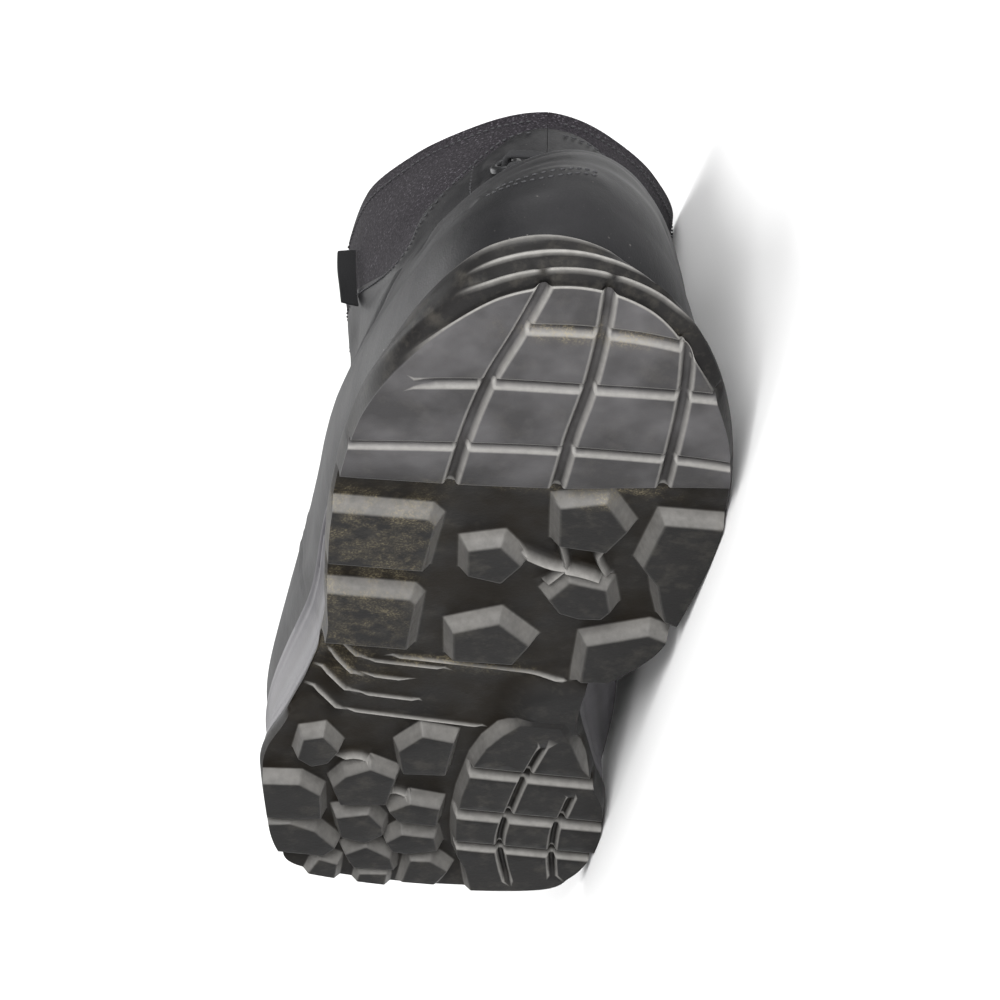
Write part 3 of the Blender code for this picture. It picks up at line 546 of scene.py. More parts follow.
CORNERS = {name: block_corners(corners) for name, corners in LUGS.items()}
CORNERS["heel_pad"] = block_corners(HEEL_PAD)
CORNERS["toe_zone"] = toe_zone()
BLOCKS = {name: rounded(corners) for name, corners in CORNERS.items()}
DRAFT = {name: HEEL_DRAFT if corners[:, 0].mean() < HEEL_FRONT else 1.0
         for name, corners in CORNERS.items()}
print("block outlines:", sum(len(loop) for loop in BLOCKS.values()), "points")

# %% Distances on the plan
NEAR = 5.0               # a block or path is measured only within this distance
FAR = 9.0                # and this stands for any distance beyond it


def path_distance(points, path, closed):
    """Distance to a path, how far along it the nearest place is, and its length."""
    ends = np.roll(path, -1, axis=0) if closed else path[1:]
    starts = path if closed else path[:-1]
    best = np.full(len(points), 1e9)
    reached = np.zeros(len(points))
    walked = 0.0
    for start, end in zip(starts, ends):
        run = end - start
        length = np.linalg.norm(run)
        share = np.clip((points - start) @ run / max(length, 1e-9) ** 2, 0, 1)
        distance = np.linalg.norm(points - start - share[:, None] * run, axis=1)
        closer = distance < best
        best = np.where(closer, distance, best)
        reached = np.where(closer, walked + share * length, reached)
        walked += length
    return best, reached, walked


def inside(points, loop):
    """True for points within a closed loop, by counting crossings."""
    crossed = np.zeros(len(points), bool)
    for start, end in zip(loop, np.roll(loop, -1, axis=0)):
        spans = (start[1] > points[:, 1]) != (end[1] > points[:, 1])
        slope = (end[0] - start[0]) / (end[1] - start[1]) if end[1] != start[1] else 0.0
        crossed ^= spans & (points[:, 0] < start[0] + (points[:, 1] - start[1]) * slope)
    return crossed


def near(points, path, margin=NEAR):
    """Which points lie within a path's box and a margin."""
    low, high = path.min(axis=0) - margin, path.max(axis=0) + margin
    return np.all((points > low) & (points < high), axis=1)


def block_distance(points, loop):
    """Distance outward from a block's outline; negative within it."""
    out = np.full(len(points), FAR)
    close = near(points, loop)
    distance, _, _ = path_distance(points[close], loop, True)
    out[close] = np.where(inside(points[close], loop), -distance, distance)
    return out


# %% The sole's edge
RIM_POINTS = 1150
TOE_ROLL = (235.0, 290.0)    # between these the tread's edge rolls up into the toe
EDGE_INSET = 0.8             # how far the tread ends inside the sole's edge,
TOE_INSET = 6.2              # and how much further at the toe's tip


def toe_share(x):
    """How much of the rounded toe has begun at a distance from the heel."""
    return ease((x - TOE_ROLL[0]) / (TOE_ROLL[1] - TOE_ROLL[0]))


def rim(turns, inset):
    """The sole's edge in plan, drawn in by an amount for each column."""
    x = along(turns) * SOLE_LENGTH
    loop = np.column_stack([x, sole_centre(x) + side(turns) * sole_half(x)])
    return push_in(loop, inset)


RIM_TURNS = np.arange(RIM_POINTS) * 2 * math.pi / RIM_POINTS
FOOT = rim(RIM_TURNS, EDGE_INSET + TOE_INSET * toe_share(along(RIM_TURNS) * SOLE_LENGTH))
FOOT_CLOSED = np.concatenate([FOOT, FOOT[:1]])
print("edge of the tread: %.0f mm round" % path_walk(FOOT_CLOSED)[-1])

# %% Contours
def offset_path(path, amount):
    """An open path moved sideways."""
    run = unit(np.gradient(path, axis=0))
    return path + np.column_stack([-run[:, 1], run[:, 0]]) * amount


def batten(corners, spacing):
    """An open path bent smoothly through its corners."""
    corners = np.asarray(corners, float)
    walked = path_walk(corners)
    at = np.linspace(0, walked[-1], max(3, int(walked[-1] / spacing) + 1))
    return np.column_stack([smooth(walked, corners[:, axis], at) for axis in (0, 1)])


GROOVE_PATHS = {name: batten(row[0], 3.0) for name, row in GROOVES.items()}
RIB_PATHS = {name: batten(row[0], 2.0) for name, row in RIBS.items()}
PATHS = ((GROOVE_PATHS, GROOVES, GROOVE_STEP), (RIB_PATHS, RIBS, RIB_STEP))


def contours():
    """Every contour as (points, closed, owner, distance)."""
    found = [(FOOT, True, "", 0.0)]
    for name, corners in CORNERS.items():
        found += [(rounded(grown(corners, out * DRAFT[name])), True, name, out)
                  for out in BLOCK_STEP["out"]]
    for group, rows, step in PATHS:
        for name, path in group.items():
            for out in step["out"]:
                for where in ((-1, 1) if out else (1,)):
                    moved = offset_path(path, where * out * rows[name][1])
                    found.append((moved, False, name, out))
    return found

# %% Points between the contours
FILL_ZONES = ((3.4, 0, 206), (2.2, 206, 296))    # spacing of the fill points, from, to
FILL_SIDES = (-60, 56)
FILL_ROW = 0.87          # rows of a staggered grid lie this much closer than its points
CLEAR_RIM = 1.0          # distances kept free of fill points: inside the sole's edge,
CLEAR_BLOCK = (1.4, 4.0)     # inside and outside a block's outline,
CLEAR_PATH = 0.7         # and beside a groove or rib


def fill_points(spacing, low, high):
    """A staggered grid of points, away from every contour."""
    xs = np.arange(low, high, spacing)
    rows = [np.column_stack([xs + (k % 2) * spacing / 2, np.full(len(xs), y)])
            for k, y in enumerate(np.arange(*FILL_SIDES, spacing * FILL_ROW))]
    points = np.concatenate(rows)
    points = points[block_distance(points, FOOT) < -CLEAR_RIM]
    for loop in BLOCKS.values():
        out = block_distance(points, loop)
        points = points[(out < -CLEAR_BLOCK[0]) | (out > CLEAR_BLOCK[1])]
    for group, rows, step in PATHS:
        for name, path in group.items():
            distance, _, _ = path_distance(points, path, False)
            points = points[distance > step["out"][-1] * rows[name][1] + CLEAR_PATH]
    return points

# %% All contours in one triangulation
def plan_mesh():
    """Vertices, triangles and each vertex's contour, from all contours together."""
    points, edges, owners = [], [], []
    for loop, closed, owner, out in contours():
        start = len(points)
        points += [Vector(point) for point in loop]
        owners += [(owner, out)] * len(loop)
        count = len(loop)
        edges += [(start + k, start + (k + 1) % count)
                  for k in range(count if closed else count - 1)]
    for zone in FILL_ZONES:
        extra = fill_points(*zone)
        points += [Vector(point) for point in extra]
        owners += [("", 0.0)] * len(extra)
    verts, _, faces, sources, _, _ = delaunay_2d_cdt(points, edges, [], 0, 1e-4)
    verts = np.array([tuple(vertex) for vertex in verts])
    faces = np.array(faces)
    middles = verts[faces].mean(axis=1)
    faces = faces[inside(middles, FOOT)]
    used, faces = np.unique(faces, return_inverse=True)
    owner = [owners[sources[place][0]] if sources[place] else ("", 0.0) for place in used]
    return verts[used], faces.reshape(-1, 3), owner


plan_points, plan_faces, plan_owner = plan_mesh()
print("tread plan:", len(plan_points), "points,", len(plan_faces), "triangles")

# %% Depth of the floor
ARCH = (76.0, 126.0)     # the arch lies between these
ARCH_RISE = 3.0          # how far the sole's edge lifts beside the arch,
ARCH_SIDES = (-33.5, 22.0)   # beyond these on the outer and inner side
ARCH_SOFT = 9            # how softly all of that begins
REAR_START = 15          # behind this the floor is shallower,
REAR_SOFT = 12           # fully so after this length
TIP_MIDDLE = (97, 26)    # tip of the big heel block,
TIP_REACH = 21           # how far the raised rubber round it reaches,
TIP_SOFT = 11            # how softly it ends
TIP_FILL = 0.88          # and how much of the floor's depth it fills


def filled_tip(points):
    """Where the waist's rubber rises to meet the tip of the big heel block."""
    away = np.hypot(points[:, 0] - TIP_MIDDLE[0], points[:, 1] - TIP_MIDDLE[1])
    return ease((TIP_REACH - away) / TIP_SOFT)


def floor_depth(points):
    """Depth of the tread's floor under the lugs' faces.

    It's shallower behind the heel and deeper where the arch lifts the sole's edges.
    """
    x, y = points.T
    arch = ease((x - ARCH[0]) / ARCH_SOFT) * ease((ARCH[1] - x) / ARCH_SOFT)
    outer = ease((ARCH_SIDES[0] - y) / ARCH_SOFT)
    inner = ease((y - ARCH_SIDES[1]) / ARCH_SOFT)
    rear = ease((REAR_START - x) / REAR_SOFT)
    depth = TREAD_DEPTH * (0.9 - 0.55 * rear)
    depth = depth + ARCH_RISE * arch * np.maximum(outer, 0.8 * inner)
    return depth * (1 - TIP_FILL * filled_tip(points))


# %% Heights on the plan
BLOCK_EDGE = table(      # how pale a block's edge and wall are painted, scuffs and painted highlight, by distance outward from its outline
    "out mark",
    (-0.5, 0), (0.1, 0.45), (0.3, 0.6), (2.3, 0.5), (2.7, 0),
)
ON_FACE = 1.0            # a groove's mouth is paled, scuffs and painted highlight, only where it cuts a lug's face
PATH_SNAP = 0.12         # a contour's own points take its distance, if they're this near


def on_path(points, name, path, half, owner_name, owner_out):
    """Points near a path, their distance over its half width, and that to its ends."""
    close = near(points, path)
    distance, walked, length = path_distance(points[close], path, False)
    out = distance / half
    own = (owner_name[close] == name) & (np.abs(out - owner_out[close]) < PATH_SNAP)
    return close, np.where(own, owner_out[close], out), np.minimum(walked, length - walked)


def tread_heights(points, owner):
    """Depth of the skin under the lugs' faces, and how close each edge is."""
    owner_name = np.array([name for name, _ in owner])
    owner_out = np.array([out for _, out in owner])
    floor = floor_depth(points)
    depth = floor.copy()
    edge = np.zeros(len(points))
    for name, loop in BLOCKS.items():
        out = block_distance(points, loop) / DRAFT[name]
        snap = 0.15 + 0.45 * np.abs(owner_out)
        out = np.where((owner_name == name) & (np.abs(out - owner_out) < snap), owner_out, out)
        share = np.interp(out, BLOCK_STEP["out"], BLOCK_STEP["share"])
        depth = np.minimum(depth, floor * share)
        edge = np.maximum(edge, np.interp(out, BLOCK_EDGE["out"], BLOCK_EDGE["mark"]))
    edge = edge * (1 - filled_tip(points))
    for name, path in GROOVE_PATHS.items():
        _, half, deep, taper = GROOVES[name]
        close, out, to_end = on_path(points, name, path, half, owner_name, owner_out)
        deep = deep * np.interp(out, GROOVE_STEP["out"], GROOVE_STEP["share"])
        if taper:
            deep = deep * ease(to_end / taper + 0.1)
        mouth = np.where(depth[close] < ON_FACE, hump(out, 1.0, 0.35), 0)
        edge[close] = np.maximum(edge[close], mouth)
        depth[close] = np.maximum(depth[close], deep)
    for name, path in RIB_PATHS.items():
        _, half, tall = RIBS[name]
        close, out, to_end = on_path(points, name, path, half, owner_name, owner_out)
        tall = tall * np.interp(out, RIB_STEP["out"], RIB_STEP["share"])
        lifted = floor[close] - tall * ease(to_end / half + 0.35)
        crest = np.where(lifted < depth[close], hump(out, 0, 1.2), 0)
        edge[close] = np.maximum(edge[close], crest)
        depth[close] = np.minimum(depth[close], lifted)
    return depth, edge


plan_depth, plan_edge = tread_heights(plan_points, plan_owner)
print("tread depth: %.1f to %.1f mm" % (plan_depth.min(), plan_depth.max()))

# %% [markdown]
# ## The outsole's wall
#
# The tread's edge is followed point by point up the side: out to the belly, past two
# saw-toothed scuff ridges at the toe, round the lip that laps the upper, and down
# inside to the seat where the midsole lies. Each column of the wall starts at a real
# point of the tread's skin, so the two meet without a seam.

# %% Plan loops of the sole's pieces
LAP_LENGTH = 25.0        # over which the top edge passes from the plate to the bumper
COVER_START = 170.0      # from here the outsole starts to hide the midsole,
COVER_LENGTH = 45.0      # and hides it fully after this length


def bumper_rim(turns):
    """The outsole's top edge in plan, where it laps the upper's toe."""
    start = BUMPER["x"][0]
    edge = rim(turns, 0.6)
    lapped = ease((edge[:, 0] - start) / LAP_LENGTH)[:, None]
    x = along(turns) * SOLE_LENGTH
    x = x - (SOLE_LENGTH - BUMPER_TIP) * ease((x - start) / (SOLE_LENGTH - start))
    half = np.sqrt(np.maximum(smooth(BUMPER["x"], BUMPER["half"] ** 2, x), 0))
    return edge * (1 - lapped) + np.column_stack([x, bend(x) + side(turns) * half]) * lapped


def midsole_rims(turns):
    """Plan loops of the midsole's bottom and top, and how far it is covered."""
    edge = rim(turns, 0)
    feather = last_points(0.0, turns)[:, :2]
    covered = ease((edge[:, 0] - COVER_START) / COVER_LENGTH)
    low = push_in(edge, 0.8) * (1 - covered)[:, None] + push_in(feather, 0.4) * covered[:, None]
    return low, push_in(feather, -1.8 * (1 - covered)), covered


def held_rim(turns, z):
    """Plan loop, at a height, of what the outsole holds: midsole, then upper."""
    low, top, _ = midsole_rims(turns)
    base, feather = plate_z(low[:, 0]), footbed_z(top[:, 0])
    share = np.clip((z - base) / (feather - base), 0, 1)[:, None]
    plan = low + (top - low) * share
    grid = last_points(np.linspace(0, 3, 13)[:, None], turns[None, :])
    for column in np.flatnonzero(z > feather):
        heights = grid[:, column, 2]
        plan[column] = [np.interp(z[column], heights, grid[:, column, axis]) for axis in (0, 1)]
    return plan

# %% Filled ends
def fill_plan(loop, spacing):
    """Triangles inside a plan loop, with a sparse grid of points of their own."""
    low, high = loop.min(axis=0), loop.max(axis=0)
    xs, ys = (np.arange(low[axis], high[axis], spacing) for axis in (0, 1))
    extra = np.stack(np.meshgrid(xs, ys), -1).reshape(-1, 2)
    extra = extra[block_distance(extra, loop) < -0.4 * spacing]
    points = [Vector(point) for point in np.concatenate([loop, extra])]
    edges = [(k, (k + 1) % len(loop)) for k in range(len(loop))]
    verts, _, faces, _, _, _ = delaunay_2d_cdt(points, edges, [], 1, 1e-4)
    return np.array([tuple(vertex) for vertex in verts]), [tuple(face) for face in faces]


def solid(name, loops, spacing, finish, bottom, top, recess=None):
    """A closed solid through plan loops, its two ends filled with a sparse grid.

    bottom and top give the height of the filled ends at a distance from the heel.
    """
    points, faces = list(loops), rings(loops)
    shades = list(recess) if recess else []
    for end, height, order in ((0, bottom, -1), (len(loops) - 1, top, 1)):
        loops[end][:, 2] = height(loops[end][:, 0])
        verts, cells = fill_plan(loops[end][:, :2], spacing)
        start = sum(map(len, points))
        points.append(raised(verts, height(verts[:, 0])))
        faces += [[start + corner for corner in cell[::order]] for cell in cells]
        if recess:
            shades.append(np.full(len(verts), shades[end].mean()))
    marks = {"recess": np.concatenate(shades)} if recess else None
    return make(name, np.concatenate(points), faces, [finish], marks=marks)


# %% The wall's columns
def boundary_loop(faces):
    """Vertices along the open edge of a set of triangles, in order."""
    known = {(face[k], face[(k + 1) % 3]) for face in faces for k in range(3)}
    ends = {start: end for start, end in known if (end, start) not in known}
    loop = [min(ends)]
    while ends[loop[-1]] != loop[0]:
        loop.append(ends[loop[-1]])
    return loop


BRIM = boundary_loop(plan_faces.tolist())    # the tread's points that the wall stands on
BRIM_PLAN = plan_points[BRIM]
_, brim_walk, _ = path_distance(BRIM_PLAN, FOOT, True)
BRIM_PLACE = np.interp(brim_walk, path_walk(FOOT_CLOSED), np.arange(RIM_POINTS + 1))


def at_brim(loop):
    """A loop of the rim's columns, read at the brim's points."""
    closed = np.concatenate([loop, loop[:1]])
    columns = np.arange(RIM_POINTS + 1)
    return np.column_stack([np.interp(BRIM_PLACE, columns, closed[:, k]) for k in range(3)])


print("the wall has", len(BRIM), "columns")

# %% The toe's ridges
WALL_KEYS = (0, 0.25, 0.6, 1)    # shares of the way up: tread, belly, middle and lip
WALL_ROWS = np.array([0, 0.02, 0.05, 0.075, 0.10, 0.15, 0.20, 0.235, 0.25, 0.265, 0.30, 0.33, 0.355,
                      0.41, 0.47, 0.505, 0.52, 0.535, 0.57, 0.60, 0.63, 0.71, 0.80, 0.89, 0.96, 1.0])
TOE_WALL = table(        # the wall at the toe's tip: out and up from the tread's edge
    "share out up",
    (0, 0, 0), (0.02, 0.3, 0.3), (0.05, 0.3, 0.8), (0.075, -0.8, 1.4), (0.10, -0.4, 1.7),
    (0.20, 2.8, 3.0), (0.235, 3.9, 3.4), (0.25, 4.3, 3.8), (0.265, 4.2, 4.3), (0.30, 3.4, 4.8),
    (0.33, 3.2, 5.1), (0.47, 4.9, 7.2), (0.505, 5.5, 7.7), (0.52, 5.8, 8.1), (0.535, 5.7, 8.6),
    (0.57, 4.9, 9.2), (0.60, 4.5, 9.6), (0.80, 4.5, 11.9), (0.89, 4.8, 12.7), (0.96, 4.7, 13.4),
    (1, 3.9, 14.0),
)
TOE_SCUFF_AND_HIGHLIGHT = table(       # how pale the same wall is painted: rubbed crests, partly a painted highlight, not the faces between
    "share amount",
    (0, 0.7), (0.02, 1.0), (0.05, 0.9), (0.075, 0.2), (0.10, 0), (0.20, 0), (0.235, 0.4),
    (0.25, 1.0), (0.265, 1.0), (0.30, 0.3), (0.33, 0), (0.47, 0), (0.505, 0.4), (0.52, 1.0),
    (0.535, 1.0), (0.57, 0.3), (0.60, 0), (0.80, 0), (0.89, 0.3), (0.96, 0.8), (1, 0.8),
)
RIDGE_START = 248.0              # the ridges begin here, fully so after the fade
RIDGE_FADE = 12.0
RIDGE_TOPS = (0.16, 0.42)        # shares of the way up where the first two ridges end
# How far each ridge runs round the toe: y at its outer end, fade, y at its inner end, fade.
RIDGE_ENDS = ((-47, 14, 40, 9), (-33, 9, 27, 8), (-30, 9, 18, 8))
NOTCHES = (-12.8, 4.5)           # y of the toe grooves that run on into the wall
NOTCH_HALF = 2.4
NOTCH_DEPTH = 1.6
NOTCH_TOP = 0.3                  # share of the way up where they end


def toe_ridges():
    """How strongly each ridge shows in each column, and where the grooves notch them."""
    x, y = BRIM_PLAN.T
    front = ease((x - RIDGE_START) / RIDGE_FADE)
    strength = [front * ease((y - outer) / outer_fade) * ease((inner - y) / inner_fade)
                for outer, outer_fade, inner, inner_fade in RIDGE_ENDS]
    return strength, front * np.maximum.reduce([hump(y, at, NOTCH_HALF) for at in NOTCHES])


# %% Up the wall
GLUE_LINE = 0.7          # how pale the glue at the lip is, on the outer side of the ball


def wall_loops():
    """Loops from the tread's edge up to the lip, and their recess and edge marks."""
    edge = rim(RIM_TURNS, 0)
    toe = toe_share(edge[:, 0])
    bumper = bumper_rim(RIM_TURNS)
    top = lip_z(bumper[:, 0])
    foot_z = tread_z(FOOT[:, 0]) + TREAD_DEPTH * (1 - toe) + 0.3
    belly_z = foot_z + 1.2 + 2.8 * toe
    belly = push_in(edge, 2.2 * toe)
    middle = push_in((belly + bumper) / 2, -1.0 * toe)
    first = raised(BRIM_PLAN, tread_z(BRIM_PLAN[:, 0]) + plan_depth[BRIM])
    keys = [first]
    for plan, z in ((belly, belly_z), (middle, (belly_z + top) / 2), (bumper, top)):
        keys.append(at_brim(raised(plan, z)))
    keys = np.stack(keys, axis=1)
    outward = at_brim(raised(push_in(edge, -1.0) - edge, 0))
    strength, notch = toe_ridges()
    x, y = BRIM_PLAN.T
    tip = int(np.argmax(x))
    loops, recess, scuff_and_highlight = [], [], []
    for share in WALL_ROWS:
        up_here = np.full(len(x), share)
        row = np.stack([smooth(WALL_KEYS, keys[:, :, k], up_here) for k in range(3)], axis=1)
        ridge = strength[int(np.searchsorted(RIDGE_TOPS, share, side="right"))]
        out, up, rubbed_and_highlight = (float(np.interp(share, wall["share"], wall[name])) for wall, name in
                           ((TOE_WALL, "out"), (TOE_WALL, "up"), (TOE_SCUFF_AND_HIGHLIGHT, "amount")))
        out -= row[tip, 0] - first[tip, 0]
        up -= row[tip, 2] - first[tip, 2]
        row = row + outward * (out * ridge - NOTCH_DEPTH * notch * hump(share, 0.12, 0.22))[:, None]
        row[:, 2] += up * ridge
        loops.append(row)
        # The crests' pale mark is partly rubbed wear and partly a painted highlight on the ridges.
        rubbed_and_highlight = rubbed_and_highlight * (ridge if share < 1 else 0.2 + 0.8 * strength[1])
        glue = GLUE_LINE * hump(x, 200, 34) * (y < -20) * (share == 1)
        scuff_and_highlight.append(np.maximum(rubbed_and_highlight * (1 - notch * (share < NOTCH_TOP)), glue))
        recess.append(plan_depth[BRIM] / TREAD_DEPTH * max(0, 1 - share / 0.3) * (1 - strength[0]))
    return loops, recess, scuff_and_highlight

# %% Down to the seat
# Share of the way up, inset from the sole's edge, edge mark, recess mark.
SEAT_ROWS = ((1.04, 1.3, 0.3, 0.0), (1.0, 2.0, 0.0, 0.0), (0.5, 2.8, 0.0, 0.5), (0.0, 3.6, 0.0, 0.5))
SEAT_LAP = (178.0, 24.0)     # where the lip starts to hug what it holds, and over what length


def seat_loops():
    """Loops from over the lip down its inside to the seat of the midsole."""
    edge, bumper = rim(RIM_TURNS, 0), bumper_rim(RIM_TURNS)
    low, _, _ = midsole_rims(RIM_TURNS)
    base_z, top = plate_z(low[:, 0]), lip_z(bumper[:, 0])
    hug = ease((edge[:, 0] - SEAT_LAP[0]) / SEAT_LAP[1])[:, None]
    loops = []
    for share, inset, _, _ in SEAT_ROWS:
        z = base_z + (top - base_z) * min(share, 1)
        held = push_in(held_rim(RIM_TURNS, z), -(GAP + 0.1))
        plan = held * hug + push_in(edge, inset) * (1 - hug)
        if share > 1:
            plan = plan * 0.55 + bumper * 0.45
            z = z + 0.25
        loops.append(at_brim(raised(plan, z)))
    loops[-1][:, 2] = plate_z(loops[-1][:, 0])
    return loops


# %% The whole outsole
SEAT_SPACING = 14
POLISH_START = 200.0     # the toe zone's faces are walked smooth and lightened as a painted sheen, fully so after this length
POLISH_FADE = 25.0       # fully so after this length


def dusty(points):
    """Where dry dust has stayed: outer blocks, front toe groove, toe zone's rear, waist."""
    x, y, z = points.T
    blocks = ease((-20 - y) / 12) * ease((x - 96) / 10) * ease((206 - x) / 10)
    front_groove = hump(x, 275.5, 5) * hump(y, 2, 34)
    behind_zone = 0.8 * hump(x, 209, 5) * ease((40 - np.abs(y)) / 10)
    waist = 0.7 * hump(x, 114, 7) * hump(y, -8, 30)
    return np.maximum.reduce([0.45 * blocks, 0.7 * front_groove, behind_zone, waist]) * (z < 22)


def outsole_form():
    """Points, faces and marks of the whole outsole: tread, wall, lip and seat."""
    skin = raised(plan_points, tread_z(plan_points[:, 0]) + plan_depth)
    wall, recess, scuff_and_highlight = wall_loops()
    loops = wall[1:] + seat_loops()
    verts, cells = fill_plan(loops[-1][:, :2], SEAT_SPACING)
    points = np.concatenate([skin] + loops + [raised(verts, plate_z(verts[:, 0]))])
    rows = np.vstack([BRIM, numbered(len(loops), len(BRIM), len(skin))])
    start = len(skin) + len(loops) * len(BRIM)
    faces = plan_faces[:, ::-1].tolist() + quads(closed_round(rows))
    faces += [[start + corner for corner in cell] for cell in cells]
    in_seat = [np.full(len(BRIM), row[3]) for row in SEAT_ROWS] + [np.full(len(verts), 0.5)]
    on_lip = [np.full(len(BRIM), row[2]) for row in SEAT_ROWS] + [np.zeros(len(verts))]
    # Painted sheen: the toe zone's faces are marked to be lightened in colour, where they are walked
    # smooth.
    polish_and_sheen = np.zeros(len(points))
    polish_and_sheen[:len(skin)] = ease((skin[:, 0] - POLISH_START) / POLISH_FADE)
    return points, faces, {
        "recess": np.concatenate([plan_depth / TREAD_DEPTH] + recess[1:] + in_seat),
        "edge": np.concatenate([plan_edge] + scuff_and_highlight[1:] + on_lip),
        "dust": dusty(points), "polish_and_sheen": polish_and_sheen,
    }


outsole_points, outsole_faces, outsole_marks = outsole_form()
print("outsole:", len(outsole_points), "points")

# %% [markdown]
# ## The upper
#
# The upper is a grid of columns round the foot and rows from the feather edge to the
# collar. The rows bend so that one of them always runs along the line where leather
# ends and knit begins. Above the throat's foot the two middle columns part, which
# opens the throat. Creases are paths drawn on the last by level and angle, and each
# presses a soft trough with a low ridge beside it.

# %% The upper's tables
WALL = 2.5               # thickness of the upper
THROAT_LEVEL = 8.0       # the throat's foot
THROAT_MEETING = 10.35   # where its sides start to meet
THROAT_CLOSED = 0.985    # how nearly they do
THROAT_FADE = 0.5
THROAT_ANGLE = 2 * math.pi / 64
COLUMNS = 320
LEATHER_ROWS = 116
KNIT_ROWS = 34
COARSE = 5               # every fifth row and column of the face has a lining point
KNIT_RISE = 0.22         # levels by which the soft hem stands over the plain collar
LEATHER_STEP = 0.55      # the leather's edge stands this far over the knit
LEATHER_LINE = table(    # where leather ends and knit begins, by angle from the toe
    "turn level",
    (-3.2, 10.8), (-2.6, 10.75), (-2.0, 10.5), (-1.6, 10.2), (-1.3, 9.6), (-1.1, 9.1),
    (-0.95, 9.5), (-0.83, 10.1), (-0.7, 10.46), (-0.585, 10.76), (-0.49, 11.04),
    (-0.39, 11.35), (-0.27, 11.68), (-0.12, 11.86), (0.12, 11.86), (0.35, 11.75), (0.5, 11.45),
    (0.66, 10.8), (0.83, 10.1), (1.1, 9.1), (1.3, 9.6), (1.6, 10.2), (2.0, 10.5),
    (2.6, 10.75), (3.2, 10.8),
)

# %% Creases
# (level, turn) along the path, half width and depth in millimetres.
# A negative depth raises a soft ridge.
CREASES = {
    "quarter_edge": ([(8.3, -0.98), (7.6, -0.99), (5.76, -1.017), (4.58, -1.08),
                      (3.66, -1.11), (3.0, -1.16)], 2.6, 0.9),
    "quarter_edge_inner": ([(9.2, 0.97), (7.6, 0.99), (5.8, 1.02), (4.6, 1.07), (3.2, 1.13)],
                           2.6, 0.8),
    "vamp_fold_outer": ([(3.9, -0.42), (3.6, -0.36), (3.1, -0.33)], 2.2, 0.8),
    "vamp_fold_outer_2": ([(3.7, -0.52), (3.3, -0.43), (3.0, -0.41)], 2.0, 0.6),
    "vamp_bend_1": ([(5.1, -0.85), (5.35, -0.5), (5.45, 0), (5.3, 0.5), (5.0, 0.8)], 4.5, 0.7),
    "vamp_bend_2": ([(6.2, -0.8), (6.6, -0.42), (6.7, 0), (6.6, 0.4), (6.2, 0.75)], 4.0, 0.9),
    "vamp_bend_3": ([(4.3, -0.75), (4.35, -0.4), (4.35, 0.1), (4.2, 0.5)], 4.0, 0.4),
    "toe_dish": ([(3.3, -0.24), (3.35, 0), (3.3, 0.2)], 4.5, -0.7),
    "inner_fold_1": ([(6.6, 0.55), (5.9, 0.78), (4.8, 0.95)], 3.6, 0.6),
    "inner_fold_2": ([(4.4, 0.5), (3.6, 0.72), (2.9, 0.9)], 3.0, 0.45),
    "outer_fold_1": ([(6.7, -0.6), (5.9, -0.8), (5.2, -0.9)], 3.4, 0.8),
    "ankle_outer_1": ([(7.9, -1.2), (7.9, -1.8), (8.3, -2.4)], 6.0, 1.1),
    "ankle_outer_2": ([(9.2, -1.7), (9.2, -2.3), (9.4, -2.7)], 5.0, 1.2),
    "collar_outer_dip": ([(11.6, -2.0), (10.8, -2.1), (10.0, -2.2), (9.3, -2.4)], 12.0, 3.2),
    "ankle_outer_3": ([(7.2, -1.3), (6.9, -1.9), (7.2, -2.5)], 5.0, 0.9),
    "ankle_inner_1": ([(8.6, 0.75), (8.0, 1.25), (7.9, 1.8), (8.3, 2.4)], 6.0, 1.1),
    "ankle_inner_2": ([(9.5, 1.3), (9.1, 1.8), (9.2, 2.3)], 5.0, 1.0),
    "ankle_inner_3": ([(7.2, 1.3), (6.9, 1.9), (7.2, 2.5)], 5.0, 0.9),
    "heel_counter": ([(0.2, -1.95), (3.0, -2.05), (5.2, -2.5), (6.0, 3.1416), (5.2, 2.5),
                      (3.0, 2.05), (0.2, 1.95)], 1.4, 0.8),
    "back_stay_outer": ([(6.1, -2.86), (8.5, -2.9), (10.6, -2.92)], 1.3, 0.7),
    "back_stay_inner": ([(6.1, 2.86), (8.5, 2.9), (10.6, 2.92)], 1.3, 0.7),
    "facing_outer": ([(8.1, -0.46), (9.0, -0.43), (10.0, -0.43), (11.0, -0.40)], 1.3, 0.6),
    "facing_inner": ([(8.1, 0.46), (9.0, 0.43), (10.0, 0.43), (11.0, 0.40)], 1.3, 0.6),
    "facing_foot": ([(8.1, -0.46), (7.45, -0.3), (7.25, 0), (7.45, 0.3), (8.1, 0.46)], 1.3, 0.6),
}
print(len(CREASES), "creases")

# %% Pressing the creases
CREASE_SPACING = 2.5
WIDE = 10                # a dip wider than this on each side has no ridge beside it


def on_last(places):
    """A path of (level, turn) places laid on the last as points of even spacing."""
    places = np.asarray(places, float)
    turns = places[:, 1].copy()
    turns[1:] += np.cumsum(-2 * math.pi * np.round(np.diff(turns) / (2 * math.pi)))
    order = np.arange(len(places))
    fine = np.linspace(0, len(places) - 1, 40 * len(places))
    path = last_points(smooth(order, places[:, 0], fine), smooth(order, turns, fine))
    walked = path_walk(path)
    at = np.linspace(0, walked[-1], max(3, int(walked[-1] / CREASE_SPACING) + 1))
    return np.column_stack([np.interp(at, walked, path[:, k]) for k in range(3)])


